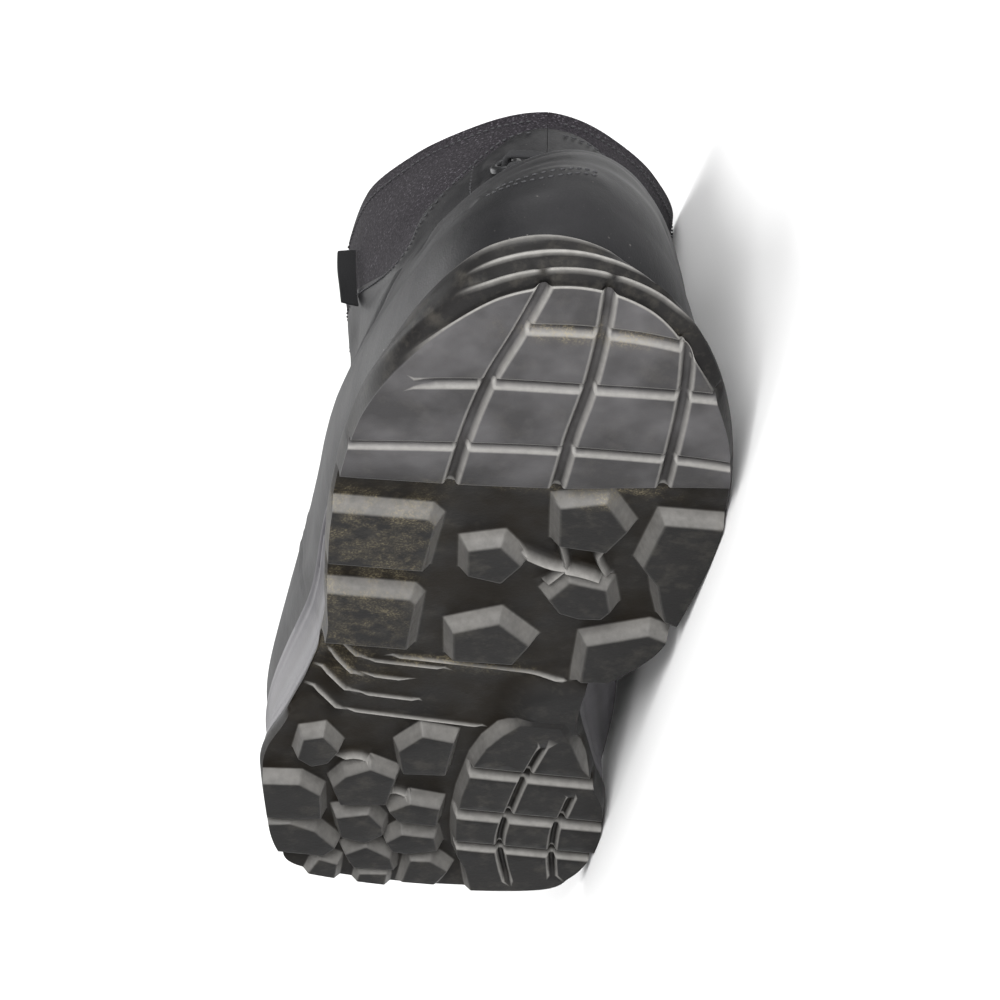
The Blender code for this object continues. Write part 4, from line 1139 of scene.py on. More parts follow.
def pressed(points):
    """How far creases push the surface out (or in, when negative)."""
    moved = np.zeros(len(points))
    for places, half, depth in CREASES.values():
        path = on_last(places)
        close = np.flatnonzero(near(points, path, 4 * half))
        distance, walked, length = path_distance(points[close], path, False)
        fade = ease(np.minimum(walked, length - walked) / (3 * half) + 0.15)
        trough = hump(distance, 0, 1.5 * half)
        ridge = hump(distance, 1.9 * half, 1.3 * half) * (half < WIDE)
        moved[close] += depth * fade * (0.35 * ridge - trough)
    return moved

# %% Hem and throat
def brim_level(turn):
    """Level of the knit hem, lower at the collar's shoulders."""
    away = np.abs((turn + math.pi) % (2 * math.pi) - math.pi)
    return COLLAR_LEVEL + KNIT_RISE * (1 - 0.9 * hump(away, 0.85, 0.95))


def throat(level):
    """Half angle of the throat's opening: a rounded foot, and a slit under the collar."""
    rise = np.clip((level - THROAT_LEVEL) / THROAT_FADE, 0, 1)
    meeting = 1 - THROAT_CLOSED * ease((level - THROAT_MEETING) / THROAT_FADE)
    return THROAT_ANGLE * np.sqrt(1 - (1 - rise) ** 2) * meeting

# %% The upper's outer face
LINING_ROWS = LEATHER_ROWS + KNIT_ROWS - 2   # the row of the face that the lining ends behind
FULL_FOLD = 1.5          # a dip or rise of this many millimetres gets the full mark: painted shade in a dip, a paler rub on a rise


def upper_grid():
    """Levels and angles of the upper's rows and columns, and the leather's edge."""
    place = np.linspace(-1, 1, COLUMNS + 1)
    nominal = THROAT_ANGLE + (place + 1) / 2 * (2 * math.pi - 2 * THROAT_ANGLE)
    signed = np.where(nominal > math.pi, nominal - 2 * math.pi, nominal)
    line = smooth(LEATHER_LINE["turn"], LEATHER_LINE["level"], signed)
    lower = np.linspace(0, 1, LEATHER_ROWS)[:, None] * line[None, :]
    above = np.linspace(0, 1, KNIT_ROWS)[1:, None]
    brim = brim_level(signed)
    level = np.concatenate([lower, line + (brim - line) * above])
    half = throat(level)
    turn = half + (place[None, :] + 1) / 2 * (2 * math.pi - 2 * half)
    return level, turn, line


def upper_relief(base, level, line):
    """How far the face stands off the last: creases, the knit's swell, the leather's edge."""
    rows, count = level.shape
    row = np.arange(rows)[:, None]
    out = pressed(base.reshape(-1, 3)).reshape(rows, count)
    out *= ease(level / 1.2)
    rise = (level - line) / np.maximum(COLLAR_LEVEL - line, 0.1)
    swell = 0.5 * hump(rise, 0.5, 0.55) * ease((COLLAR_LEVEL - line) / 1.2)
    out = np.where(row >= LEATHER_ROWS, out * 0.8 + swell, out)
    thick = LEATHER_STEP * ease(1 - np.abs(row - (LEATHER_ROWS - 4)) / 5)
    out = out + thick * (row < LEATHER_ROWS)
    return np.where(row == LEATHER_ROWS - 1, out + 0.1, out)


def rolled_hem(base, normal):
    """The hem's rounded edge, from the face over towards the lining."""
    top = base[-1] - normal[-1] * WALL / 2
    lift = unit(base[-1] - base[-2])
    return np.array([top + (WALL / 2 + 0.4 * math.sin(a)) * (math.cos(a) * normal[-1] + math.sin(a) * lift)
                     for a in np.radians((25, 50, 75, 100, 130, 155))])


def joined(fine, coarse, cuts, turned=False):
    """Faces between an edge of a finely divided face and its coarser lining.

    cuts says at which places of the fine edge the coarse points lie.
    """
    faces = []
    for k, (start, end) in enumerate(zip(cuts, cuts[1:])):
        run, near_end, far_end = fine[start:end + 1].tolist(), int(coarse[k]), int(coarse[k + 1])
        faces.append([*run[::-1], near_end, far_end] if turned else [*run, far_end, near_end])
    return faces


# %% The whole upper
def upper_form():
    """Points, faces, finish slots and marks: face, rolled hem, lining and throat edges."""
    level, turn, line = upper_grid()
    base = last_points(level, turn)
    normal = normals(base)
    closed = np.flatnonzero(throat(level[:, 0]) == 0)
    normal[closed, 0] = normal[closed, -1] = unit(normal[closed, 0] + normal[closed, -1])
    out = upper_relief(base, level, line)
    face = np.concatenate([base + normal * out[:, :, None], rolled_hem(base, normal)])
    rows, count = face.shape[:2]
    inner_rows = sorted({*range(0, LINING_ROWS + 1, COARSE), int(closed[-1]), LINING_ROWS})
    inner_columns = list(range(0, count, COARSE))
    inner = (base - normal * WALL)[np.ix_(inner_rows, inner_columns)]
    inner[0, :, 2] = base[0, inner_columns, 2]
    index = numbered(rows, count)
    below = numbered(*inner.shape[:2], rows * count)
    faces = quads(index)
    slots = [0 if face_row < LEATHER_ROWS - 1 else 1
             for face_row in range(rows - 1) for _ in range(count - 1)]
    faces += quads(below, turned=True)
    slots += [2] * (len(faces) - len(slots))
    faces += joined(index[0], below[0], inner_columns, turned=True)
    slots += [0] * (len(faces) - len(slots))
    faces += joined(index[-1], below[-1], inner_columns)
    slots += [1] * (len(faces) - len(slots))
    first_open = inner_rows.index(int(closed[-1]))
    cuts = [*inner_rows[first_open:-1], rows - 1]
    faces += joined(index[:, 0], below[first_open:, 0], cuts)
    faces += joined(index[:, -1], below[first_open:, -1], cuts, turned=True)
    slots += [0 if start < LEATHER_ROWS - 1 else 1 for start in cuts[:-1]] * 2
    points = np.concatenate([face.reshape(-1, 3), inner.reshape(-1, 3)])
    leather = np.arange(len(out))[:, None] < LEATHER_ROWS
    marks = {"recess": np.zeros(len(points)), "edge": np.zeros(len(points))}
    # The recess mark darkens dips as painted shade; the edge mark pales what stands out as rub.
    marks["recess"][:out.size] = np.clip(-out / FULL_FOLD, 0, 1).ravel()
    marks["edge"][:out.size] = (np.clip(out / FULL_FOLD, 0, 1) * leather).ravel()
    return points, faces, slots, marks


# %% [markdown]
# ## The tongue
#
# The tongue is a padded leather and knit sheet that lies under the throat's edges. It
# follows the last a little below the wall and swells between its seams. Its face is a
# fine grid, since that is what shows, and its back a coarse one, and both are joined
# along all four edges, so that the pad is one closed solid.

# %% The tongue
TONGUE_TURN = 7 * 2 * math.pi / 64
TONGUE_LEVELS = (7.4, 12.62)
TONGUE_THICKNESS = 4.5
TONGUE_SINK = 0.6
TONGUE_LEATHER = 11.95   # level of the tongue's own leather edge
TONGUE_COLUMNS = 60
TONGUE_ROWS = 90
TONGUE_COARSE = 3        # every third row and column of the face has a point on the back


def tongue_top(spread):
    """Level of the tongue's top edge, rounded off at its corners."""
    return TONGUE_LEVELS[1] - 0.45 * spread ** 2 - 0.7 * spread ** 6


def tongue_level(share, spread):
    """Level at a share of the tongue's height, at a spread from its middle."""
    return TONGUE_LEVELS[0] + (tongue_top(spread) - TONGUE_LEVELS[0]) * share


def tongue_frame(share, spread):
    """Point and outward normal on the tongue's face."""
    grid = last_points(tongue_level(share, spread), spread * TONGUE_TURN)
    normal = normals(grid)
    return grid - normal * (WALL + TONGUE_SINK), normal


def tongue_relief(share, spread):
    """How far the tongue's face swells: rolled top, leather edge, padding, thin edges."""
    level = tongue_level(share, spread)
    from_side, from_top = 1 - np.abs(spread), 1 - share
    out = 0.8 * hump(from_top, 0.075, 0.06) - 0.5 * hump(from_top, 0.028, 0.012)
    out = out + 0.6 * hump(level, TONGUE_LEATHER - 0.12, 0.16) * (level < TONGUE_LEATHER)
    padding = 0.5 * np.sin(share * 40 + 2 * spread) * hump(share, 0.45, 0.35)
    out = out + padding * ease(from_side / 0.4)
    out = out - TONGUE_THICKNESS * 0.45 * (1 - ease(from_side / 0.12)) ** 2
    return out - TONGUE_THICKNESS * 0.4 * (1 - ease(from_top / 0.018)) ** 2

# %% The whole tongue
def tongue_form():
    """Points, faces, finish slots and marks of the padded tongue."""
    spread = np.linspace(-1, 1, TONGUE_COLUMNS + 1)[None, :]
    share = np.linspace(0, 1, TONGUE_ROWS + 1)[:, None]
    face, normal = tongue_frame(share, spread)
    out = tongue_relief(share, spread)
    thick = TONGUE_THICKNESS * (1 - 0.7 * np.abs(spread) ** 3)
    thick = thick - 0.4 * TONGUE_THICKNESS * (1 - ease((1 - share) / 0.02)) ** 2
    front = face + normal * out[:, :, None]
    back = (face - normal * thick[:, :, None])[::TONGUE_COARSE, ::TONGUE_COARSE]
    rows, count = front.shape[:2]
    index = numbered(rows, count)
    below = numbered(*back.shape[:2], rows * count)
    row_cuts, column_cuts = range(0, rows, TONGUE_COARSE), range(0, count, TONGUE_COARSE)
    slot = np.where(tongue_level(share, spread) < TONGUE_LEATHER, 0, 1)
    faces = quads(index)
    slots = slot[:-1, :-1].ravel().tolist()
    faces += quads(below, turned=True)
    slots += [2] * (len(faces) - len(slots))
    faces += joined(index[0], below[0], column_cuts, turned=True)
    slots += [0] * (len(faces) - len(slots))
    faces += joined(index[-1], below[-1], column_cuts)
    slots += [1] * (len(faces) - len(slots))
    faces += joined(index[:, 0], below[:, 0], row_cuts)
    faces += joined(index[:, -1], below[:, -1], row_cuts, turned=True)
    slots += [int(slot[start, 0]) for start in row_cuts[:-1]] * 2
    points = np.concatenate([front.reshape(-1, 3), back.reshape(-1, 3)])
    # The recess mark here darkens the tongue's dips as painted shade.
    fold = np.zeros(len(points))
    fold[:out.size] = np.clip(-out.ravel() / FULL_FOLD, 0, 1)
    return points, faces, slots, {"recess": fold, "edge": 0 * fold}


# %% [markdown]
# ## Midsole and insole
#
# The midsole is a wedge of foam, high under the heel and thin under the ball, and the
# insole is a thin sheet in the upper that is hardly seen. Both are lofted: plan loops
# are stacked up from a table of steps, and the two ends are filled.

# %% Midsole and insole
MIDSOLE_PROFILE = table(     # inward step of the midsole's side on its way up
    "share inward",
    (0, 0.9), (0.03, 0.2), (0.10, 0.0), (0.15, 0.1), (0.19, 0.4), (0.23, 0.2), (0.35, 0.5),
    (0.55, 0.8), (0.74, 0.5), (0.79, 0.35), (0.83, 0.6), (0.87, 0.3), (0.95, 0.3), (1.0, 1.2),
)
MIDSOLE_WAIST = 2.4      # four times the depth by which the side is hollow half way up


def midsole_form():
    """Plan loops of the midsole and how deep each is in a crease."""
    low, top, covered = midsole_rims(RIM_TURNS)
    z_low, z_top = plate_z(low[:, 0]) + GAP, footbed_z(top[:, 0])
    loops, marks = [], []
    for share, inward in zip(MIDSOLE_PROFILE["share"], MIDSOLE_PROFILE["inward"]):
        waisted = (inward + MIDSOLE_WAIST * share * (1 - share)) * (1 - covered)
        plan = push_in(low + (top - low) * share, waisted)
        loops.append(raised(plan, z_low + (z_top - z_low) * share))
        # How far each loop steps in becomes the mark that darkens the foam there as painted shade.
        marks.append(np.full(len(low), min(1.0, inward)))
    return loops, marks


INSOLE_AIR = 0.6         # between the insole's edge and the upper's wall
INSOLE_PROFILE = (       # inset and height of its section, up the side and in over the top
    (0, 0), (0, 2.4), (0.3, 3.1), (1.0, 3.5), (3.0, 3.3), (6.0, 2.8),
)


def insole_form():
    """Plan loops of the insole, which is dished a little round its edge."""
    rim_plan = push_in(last_points(0.0, RIM_TURNS[::5])[:, :2], WALL + INSOLE_AIR)
    z = footbed_z(rim_plan[:, 0]) + GAP
    return [raised(push_in(rim_plan, inset), z + rise) for inset, rise in INSOLE_PROFILE]


# %% [markdown]
# ## Lace and eyelets
#
# A lace is pulled flat over the throat, so its section is an oval. It is swept along a
# short path for each crossing: up out of one eyelet, over the tongue, and down into the
# eyelet across and one row higher. The two laces of a crossing pass at different
# heights. An eyelet is a turned ring, one profile carried round a circle, with a floor
# in its hole so that it stays a closed solid.

# %% Tubes and places on the last
SLOPE_STEP = 0.02        # of a level or a turn, over which the surface's slope is read
AROUND = np.array([-SLOPE_STEP, 0, SLOPE_STEP])
LACE_SIDES = 12


def last_frame(level, turn):
    """Point, outward normal and upward direction at one place on the last."""
    grid = last_points(level + AROUND[:, None], turn + AROUND[None, :])
    return grid[1, 1], normals(grid)[1, 1], unit(grid[2, 1] - grid[0, 1])


def circle(sides):
    """Angles of the sides of a round or oval section."""
    return (np.arange(sides) * 2 * math.pi / sides)[:, None]


def with_ends(loops):
    """Points and faces through closed loops, with a flat face at each end."""
    count = len(loops[0])
    start = (len(loops) - 1) * count
    faces = rings(loops) + [list(range(count))[::-1], list(range(start, start + count))]
    return np.concatenate(loops), faces


def tube(path, facing, wide, thick):
    """Points and faces of a closed cord of oval section along a path."""
    run = unit(np.gradient(path, axis=0))
    across = np.cross(run, facing)
    across /= np.linalg.norm(across, axis=1)[:, None]
    out = np.cross(across, run)
    angles = circle(LACE_SIDES)
    return with_ends([here + wide * np.cos(angles) * sideways + thick * np.sin(angles) * outward
                      for here, sideways, outward in zip(path, across, out)])


def together(parts):
    """Several point and face lists as one."""
    points, faces = [], []
    for some, cells in parts:
        start = sum(map(len, points))
        points.append(some)
        faces += [tuple(int(start + corner) for corner in cell) for cell in cells]
    return np.concatenate(points), faces


# %% Laces
EYELET_LEVELS = (8.35, 8.95, 9.5, 10.05, 10.6)
EYELET_TURN = 2.5 * 2 * math.pi / 64
LACE_WIDE, LACE_THICK = 1.9, 1.0     # half width and half thickness
LACE_POINTS = 27
LACE_UPRIGHT = 0.08      # share of a run that goes straight up or down in an eyelet
LACE_CLIMB = 0.16        # share over which it comes up to its full height
LACE_SUNK = 1.2          # how far its ends dip into the eyelets
BAR_LIFT = 3.2           # height of the bar at the throat's foot,
UNDER_LIFT = 2.4         # of the lower lace of a crossing
OVER_LIFT = 4.5          # and of the one that passes over it


def lace_path(start, end, lift):
    """Up through one eyelet, over the throat and down through another."""
    path, facing = [], []
    for share in np.linspace(0, 1, LACE_POINTS):
        glide = np.clip((share - LACE_UPRIGHT) / (1 - 2 * LACE_UPRIGHT), 0, 1)
        level = start[1] + (end[1] - start[1]) * glide
        turn = (start[0] + (end[0] - start[0]) * glide) * EYELET_TURN
        point, normal, _ = last_frame(level, turn)
        sunk = LACE_SUNK + 0.15 * lift
        height = -sunk + (lift + sunk) * ease(min(share, 1 - share) / LACE_CLIMB)
        path.append(point + normal * height)
        facing.append(normal)
    return np.array(path), np.array(facing)


def laces_form():
    """Bar at the throat's foot and the crossings above it."""
    first = EYELET_LEVELS[0]
    runs = [((-1, first), (1, first), BAR_LIFT)]
    for low, high in zip(EYELET_LEVELS, EYELET_LEVELS[1:]):
        runs += [((-1, low), (1, high), UNDER_LIFT), ((1, low), (-1, high), OVER_LIFT)]
    return together([tube(*lace_path(*run), LACE_WIDE, LACE_THICK) for run in runs])


# %% Eyelets
EYELET_SIDES = 28
EYELET_SEAT = 0.9        # height of the ring's zero line over the last
EYELET_PROFILE = ((2.0, -0.9), (2.05, 0.2), (2.2, 0.85), (2.6, 1.25), (3.2, 1.3), (3.9, 1.0),
                  (4.4, 0.45), (4.5, -0.2))


def eyelet_form(level, turn):
    """A turned ring with a floor in its hole, set on the leather."""
    point, normal, up = last_frame(level, turn)
    angles = circle(EYELET_SIDES)
    spoke = np.cos(angles) * np.cross(up, normal) + np.sin(angles) * up
    return with_ends([point + normal * (EYELET_SEAT + height) + spoke * radius
                      for radius, height in EYELET_PROFILE])


# %% [markdown]
# ## The side label
#
# A woven tab is sewn into the collar's outer side and stands out from it, a little
# curled. It is bare here. Two thin faces follow the same curled middle surface, half a
# thickness to each side, and a band of quads round the border closes them.

# %% The side label
LABEL_LEVEL, LABEL_TURN, LABEL_TILT = 10.4, -1.58, 0.15
LABEL_REACH, LABEL_TALL, LABEL_THICK = 4.8, 27.0, 0.55


def label_form():
    """A folded woven tab, a little curled, standing out of the collar's side."""
    _, normal, up = last_frame(LABEL_LEVEL, LABEL_TURN)
    lean = up * math.cos(LABEL_TILT) - np.cross(normal, up) * math.sin(LABEL_TILT)
    across = np.cross(normal, lean)
    tall = np.linspace(-0.5, 0.5, 25)[:, None, None]
    reach = np.linspace(0, 1, 7)[None, :, None]
    bow = 0.7 * reach ** 2 * np.sin(tall * 5) + 0.5 * reach
    up_ends = last_points(LABEL_LEVEL + np.array([-0.5, 0.5]), LABEL_TURN)
    round_ends = last_points(LABEL_LEVEL, LABEL_TURN + np.array([-0.1, 0.1]))
    up_length = np.linalg.norm(up_ends[1] - up_ends[0])
    round_length = np.linalg.norm(round_ends[1] - round_ends[0])
    climb = tall.ravel() * LABEL_TALL * math.cos(LABEL_TILT) / up_length
    swing = tall.ravel() * LABEL_TALL * math.sin(LABEL_TILT) / round_length
    root = last_points(LABEL_LEVEL + climb, LABEL_TURN + 0.2 * swing)[:, None, :]
    middle = root + normal * (0.9 + reach * LABEL_REACH) - lean * tall * LABEL_TALL * 0.05 * reach
    middle = middle + across * (bow - 0.3)
    half = LABEL_THICK * (0.5 + 0.25 * reach)
    front, back = middle + across * half, middle - across * half
    index = numbered(*front.shape[:2])
    faces = quads(index) + quads(index + index.size, turned=True)
    border = np.concatenate([index[0], index[1:, -1], index[-1, -2::-1], index[-2:0:-1, 0]])
    faces += quads(closed_round(np.array([border + index.size, border])))
    return np.concatenate([front.reshape(-1, 3), back.reshape(-1, 3)]), faces


# %% [markdown]
# ## Stitches
#
# A seam is a path on the last with a direction that says which way is out. One
# Geometry Nodes group turns every such path into a row of small stitches: it
# measures the path, drops a stitch at each step, lays it along the seam and presses
# its flat side to the surface.

# %% The stitch group
def stitch_group():
    """Path in, row of stitches out; the path carries an outward direction."""
    group = bpy.data.node_groups.new("stitch_row", "GeometryNodeTree")
    sockets = {}
    for name, kind in (("Path", "NodeSocketGeometry"), ("Step", "NodeSocketFloat"),
                       ("Length", "NodeSocketFloat"), ("Width", "NodeSocketFloat"),
                       ("Thread", "NodeSocketMaterial")):
        sockets[name] = group.interface.new_socket(name, in_out="INPUT", socket_type=kind).identifier
    group.interface.new_socket("Row", in_out="OUTPUT", socket_type="NodeSocketGeometry")

    def add(kind, **settings):
        """A node with its settings."""
        made = group.nodes.new(kind)
        for name, value in settings.items():
            setattr(made, name, value)
        return made

    def link(source, out, target, into):
        """A noodle from one node's output to another's input."""
        group.links.new(source.outputs[out], target.inputs[into])

    given, result = add("NodeGroupInput"), add("NodeGroupOutput")
    curve = add("GeometryNodeMeshToCurve")
    steps = add("GeometryNodeResampleCurve", mode="LENGTH")
    ahead = add("GeometryNodeInputTangent")
    out = add("GeometryNodeInputNamedAttribute", data_type="FLOAT_VECTOR")
    out.inputs["Name"].default_value = "facing"
    lay = add("FunctionNodeAlignRotationToVector", axis="X")
    press = add("FunctionNodeAlignRotationToVector", axis="Z", pivot_axis="X")
    bead = add("GeometryNodeMeshUVSphere")
    bead.inputs["Segments"].default_value = 6
    bead.inputs["Rings"].default_value = 4
    bead.inputs["Radius"].default_value = 0.5
    size = add("ShaderNodeCombineXYZ")
    place = add("GeometryNodeInstanceOnPoints")
    real = add("GeometryNodeRealizeInstances")
    paint = add("GeometryNodeSetMaterial")
    link(given, "Path", curve, "Mesh")
    link(curve, "Curve", steps, "Curve")
    link(given, "Step", steps, "Length")
    link(ahead, "Tangent", lay, "Vector")
    link(lay, "Rotation", press, "Rotation")
    link(out, "Attribute", press, "Vector")
    link(given, "Length", size, "X")
    link(given, "Width", size, "Y")
    link(given, "Width", size, "Z")
    link(steps, "Curve", place, "Points")
    link(bead, "Mesh", place, "Instance")
    link(press, "Rotation", place, "Rotation")
    link(size, "Vector", place, "Scale")
    link(place, "Instances", real, "Geometry")
    link(real, "Geometry", paint, "Geometry")
    link(given, "Thread", paint, "Material")
    link(paint, "Geometry", result, "Row")
    return group, sockets


STITCH_GROUP, STITCH_SOCKETS = stitch_group()

# %% Rows of stitches
def stitched(name, seams, step, length, width, thread):
    """Rows of stitches along seams of (points, outward directions), in boot millimetres."""
    points, facings, edges = [], [], []
    for path, facing in seams:
        start = sum(map(len, points))
        points.append(world(path))
        facings.append(facing @ TURN.T)
        edges += [(start + k, start + k + 1) for k in range(len(path) - 1)]
    mesh = bpy.data.meshes.new(name)
    mesh.from_pydata(np.concatenate(points).tolist(), edges, [])
    facing = mesh.attributes.new("facing", "FLOAT_VECTOR", "POINT")
    facing.data.foreach_set("vector", np.concatenate(facings).astype(np.float32).ravel())
    guide = bpy.data.objects.new(name, mesh)
    bpy.context.scene.collection.objects.link(guide)
    sewing = guide.modifiers.new("stitches", "NODES")
    sewing.node_group = STITCH_GROUP
    for socket, value in (("Step", step / 1000), ("Length", length / 1000),
                          ("Width", width / 1000), ("Thread", thread)):
        sewing[STITCH_SOCKETS[socket]] = value
    ready = guide.evaluated_get(bpy.context.evaluated_depsgraph_get())
    finished = bpy.data.meshes.new_from_object(ready)
    finished.shade_smooth()
    guide.modifiers.clear()
    guide.data = finished
    print(name, len(finished.polygons), "faces")
    return guide


# %% Seams
SEAM_TURNS = np.linspace(0.11, 2 * math.pi - 0.11, 440)   # round the shaft, past the throat
SEAM_STEPS = 24          # points between two given places of a seam
HEM_FOLD = 0.8           # share of a crease's depth that the knit takes up
TONGUE_SEAM = 0.9        # share of the tongue's half width that its seams cross


def sewn(levels, turns, lift, fold=1.0):
    """Points raised over the last along a line, creases followed, and the way out."""
    grid = last_points(levels + AROUND[:, None], turns[None, :])
    normal = normals(grid)[1]
    return grid[1] + normal * (lift + fold * pressed(grid[1]))[:, None], normal


def seam_on_last(places, lift):
    """A seam by level and angle, raised over the last."""
    places = np.asarray(places, float)
    order = np.arange(len(places))
    fine = np.linspace(0, len(places) - 1, SEAM_STEPS * len(places))
    levels, turns = (smooth(order, places[:, column], fine) for column in (0, 1))
    return sewn(levels, turns, lift)


def leather_edge_seam(below, lift):
    """A seam that follows the leather's edge at a distance below it."""
    signed = np.where(SEAM_TURNS > math.pi, SEAM_TURNS - 2 * math.pi, SEAM_TURNS)
    line = smooth(LEATHER_LINE["turn"], LEATHER_LINE["level"], signed)
    return sewn(line - below, SEAM_TURNS, lift)


def hem_seam(below, lift):
    """The seam under the collar's rolled edge."""
    return sewn(brim_level(SEAM_TURNS) - below, SEAM_TURNS, lift, HEM_FOLD)


def tongue_seam(from_top, lift):
    """A seam across the tongue at a share below its top edge."""
    spread = np.linspace(-TONGUE_SEAM, TONGUE_SEAM, 80)[None, :]
    share = (1 - from_top) + AROUND[:, None] / 5
    face, normal = tongue_frame(share, spread)
    return face[1] + normal[1] * lift, normal[1]


# %% [markdown]
# ## Finishes
#
# Black things are never flat black. Each finish starts from a dark colour and adds
# what use adds, with painted light laid in as well: dirt and painted shade in recesses, pale scuffs
# and painted highlight along edges, a fine grain in the bump. The recess and edge values come from the
# marks each mesh carries.

# %% Finishes
def node(tree, kind, inputs=None, **settings):
    """A shader node whose inputs are set to values or linked to sockets."""
    made = tree.nodes.new("ShaderNode" + kind)
    for name, value in settings.items():
        setattr(made, name, value)
    for key, value in (inputs or {}).items():
        if isinstance(value, bpy.types.NodeSocket):
            tree.links.new(value, made.inputs[key])
        else:
            made.inputs[key].default_value = value
    return made


def noise(tree, scale, detail=3.0, rough=0.55):
    """Noise in object space, with a feature every 1/scale metres."""
    place = node(tree, "TexCoord").outputs["Object"]
    return node(tree, "TexNoise", {"Vector": place, "Scale": scale, "Detail": detail,
                                   "Roughness": rough}).outputs["Fac"]


def band(tree, value, low, high, out_low=0.0, out_high=1.0):
    """A value mapped from one range to another and held there."""
    return node(tree, "MapRange", {"Value": value, "From Min": low, "From Max": high,
                                   "To Min": out_low, "To Max": out_high}).outputs["Result"]


def times(tree, first, second):
    """Product of two values."""
    return node(tree, "Math", {0: first, 1: second}, operation="MULTIPLY").outputs[0]


def blend(tree, share, first, second):
    """Mix of two colours, each a socket or (red, green, blue)."""
    made = node(tree, "Mix", data_type="RGBA")
    for place, value in ((0, share), (6, first), (7, second)):
        if isinstance(value, tuple):
            value = (*value, 1)
        if isinstance(value, bpy.types.NodeSocket):
            tree.links.new(value, made.inputs[place])
        else:
            made.inputs[place].default_value = value
    return made.outputs[2]

# %% A material and its bump
def start_finish(name):
    """A new material, its node tree and its shader."""
    made = bpy.data.materials.new(name)
    made.use_nodes = True
    print("finish:", name)
    return made, made.node_tree, made.node_tree.nodes["Principled BSDF"]


def bumped(tree, shader, *layers):
    """Bump from several (height, strength, distance in millimetres) layers."""
    normal = None
    for height, strength, distance in layers:
        inputs = {"Height": height, "Strength": strength, "Distance": distance / 1000}
        if normal is not None:
            inputs["Normal"] = normal
        normal = node(tree, "Bump", inputs).outputs["Normal"]
    tree.links.new(normal, shader.inputs["Normal"])


def mark(tree, name):
    """One of the numbers that a mesh carries at its points."""
    return node(tree, "Attribute", attribute_name=name).outputs["Fac"]


# %% [markdown]
# ### Rubber
#
# The sole has been walked on. A thin film of dried mud lies on it in clouds, the flat
# toe zone is lightened in patches as a painted sheen where it is walked smooth, the tread's floor holds
# damp brown dirt deepened by painted shade, and the edges and walls are paled to a chalky grey, partly
# rubbed wear and partly painted highlight.
# The colours are laid one over another in that order, each by its own mask. Dry sandy specks come last,
# where the dust mark is.

# %% Rubber
RUBBER_DARK, RUBBER_PALE = (0.008, 0.0077, 0.0077), (0.0125, 0.012, 0.0118)
MUD_FILM = (0.06, 0.055, 0.046)
# Paler colour for the walked-smooth toe zone, a painted sheen.
POLISHED_AND_SHEEN = (0.068, 0.066, 0.068)
# Brown dirt in the tread's floor, deepened as painted shade.
RECESS_DIRT_AND_SHADE = (0.007, 0.0055, 0.0038)
# Pale scuffs on edges and walls, partly a painted highlight.
EDGE_SCUFF_AND_HIGHLIGHT = (0.165, 0.16, 0.152)
DRY_DUST = (0.16, 0.135, 0.085)


def rubber_finish():
    """Worn black rubber: recesses darkened by brown dirt and painted shade, edges and walls paled by
    scuffs and painted highlight, a painted sheen on the toe zone, and specks of dry dust.
    """
    finish, tree, shader = start_finish("worn_rubber")
    cloud = noise(tree, 60, 4)
    fine = noise(tree, 900, 4, 0.7)
    # Painted shade: the recess mark darkens the tread's floor, along with the brown dirt.
    deep = band(tree, mark(tree, "recess"), 0.15, 0.9)
    dirt_and_shade = times(tree, deep, band(tree, cloud, 0.35, 0.6, 0.25, 1.0))
    # Painted highlight: the edge mark pales block edges, lug walls and ridge crests along with rubbed
    # wear; the noise is kept smooth so it reads as sheen.
    rub_and_sheen = band(tree, noise(tree, 500, 3), 0.3, 0.7, 0.75, 1.0)
    scuff_and_highlight = times(tree, mark(tree, "edge"), rub_and_sheen)
    film = band(tree, noise(tree, 150, 5, 0.7), 0.5, 0.72, 0.0, 0.3)
    # Painted sheen: the polish mark lightens the toe zone's faces in patches.
    worn = band(tree, noise(tree, 45, 3), 0.4, 0.65, 0.35, 0.85)
    polish_and_sheen = times(tree, mark(tree, "polish_and_sheen"), worn)
    patches = band(tree, noise(tree, 170, 4, 0.6), 0.42, 0.62)
    grains = band(tree, noise(tree, 1500, 3, 0.7), 0.48, 0.62, 0.15, 1.0)
    dust = times(tree, mark(tree, "dust"), times(tree, grains, patches))
    base = blend(tree, band(tree, cloud, 0.35, 0.65), RUBBER_DARK, RUBBER_PALE)
    for share, colour in ((film, MUD_FILM), (polish_and_sheen, POLISHED_AND_SHEEN), (dirt_and_shade, RECESS_DIRT_AND_SHADE),
                          (scuff_and_highlight, EDGE_SCUFF_AND_HIGHLIGHT), (dust, DRY_DUST)):
        base = blend(tree, share, base, colour)
    tree.links.new(base, shader.inputs["Base Color"])
    tree.links.new(band(tree, cloud, 0.3, 0.7, 0.36, 0.48), shader.inputs["Roughness"])
    shader.inputs["Specular IOR Level"].default_value = 0.06
    bumped(tree, shader, (fine, 0.25, 0.25), (cloud, 0.2, 0.8))
    return finish


RUBBER = rubber_finish()

# %% [markdown]
# ### Foam, leather and knit
#
# The midsole's foam is an even dark grey, with painted shade darkening its moulded lines. Leather
# is smoother: fine pores in the bump, a paler rub on what stands out, folds darkened as painted shade and
# a few dust flecks. Knit scatters light between its threads, so it is rough and nearly
# without a highlight, with a weave too fine to model in the bump and pale lint on it.

# %% Foam
FOAM_DARK, FOAM_PALE = (0.043, 0.041, 0.046), (0.060, 0.057, 0.063)
# Darker colour for the moulded lines, a painted shade.
FOAM_LINE_SHADE = (0.02, 0.019, 0.019)


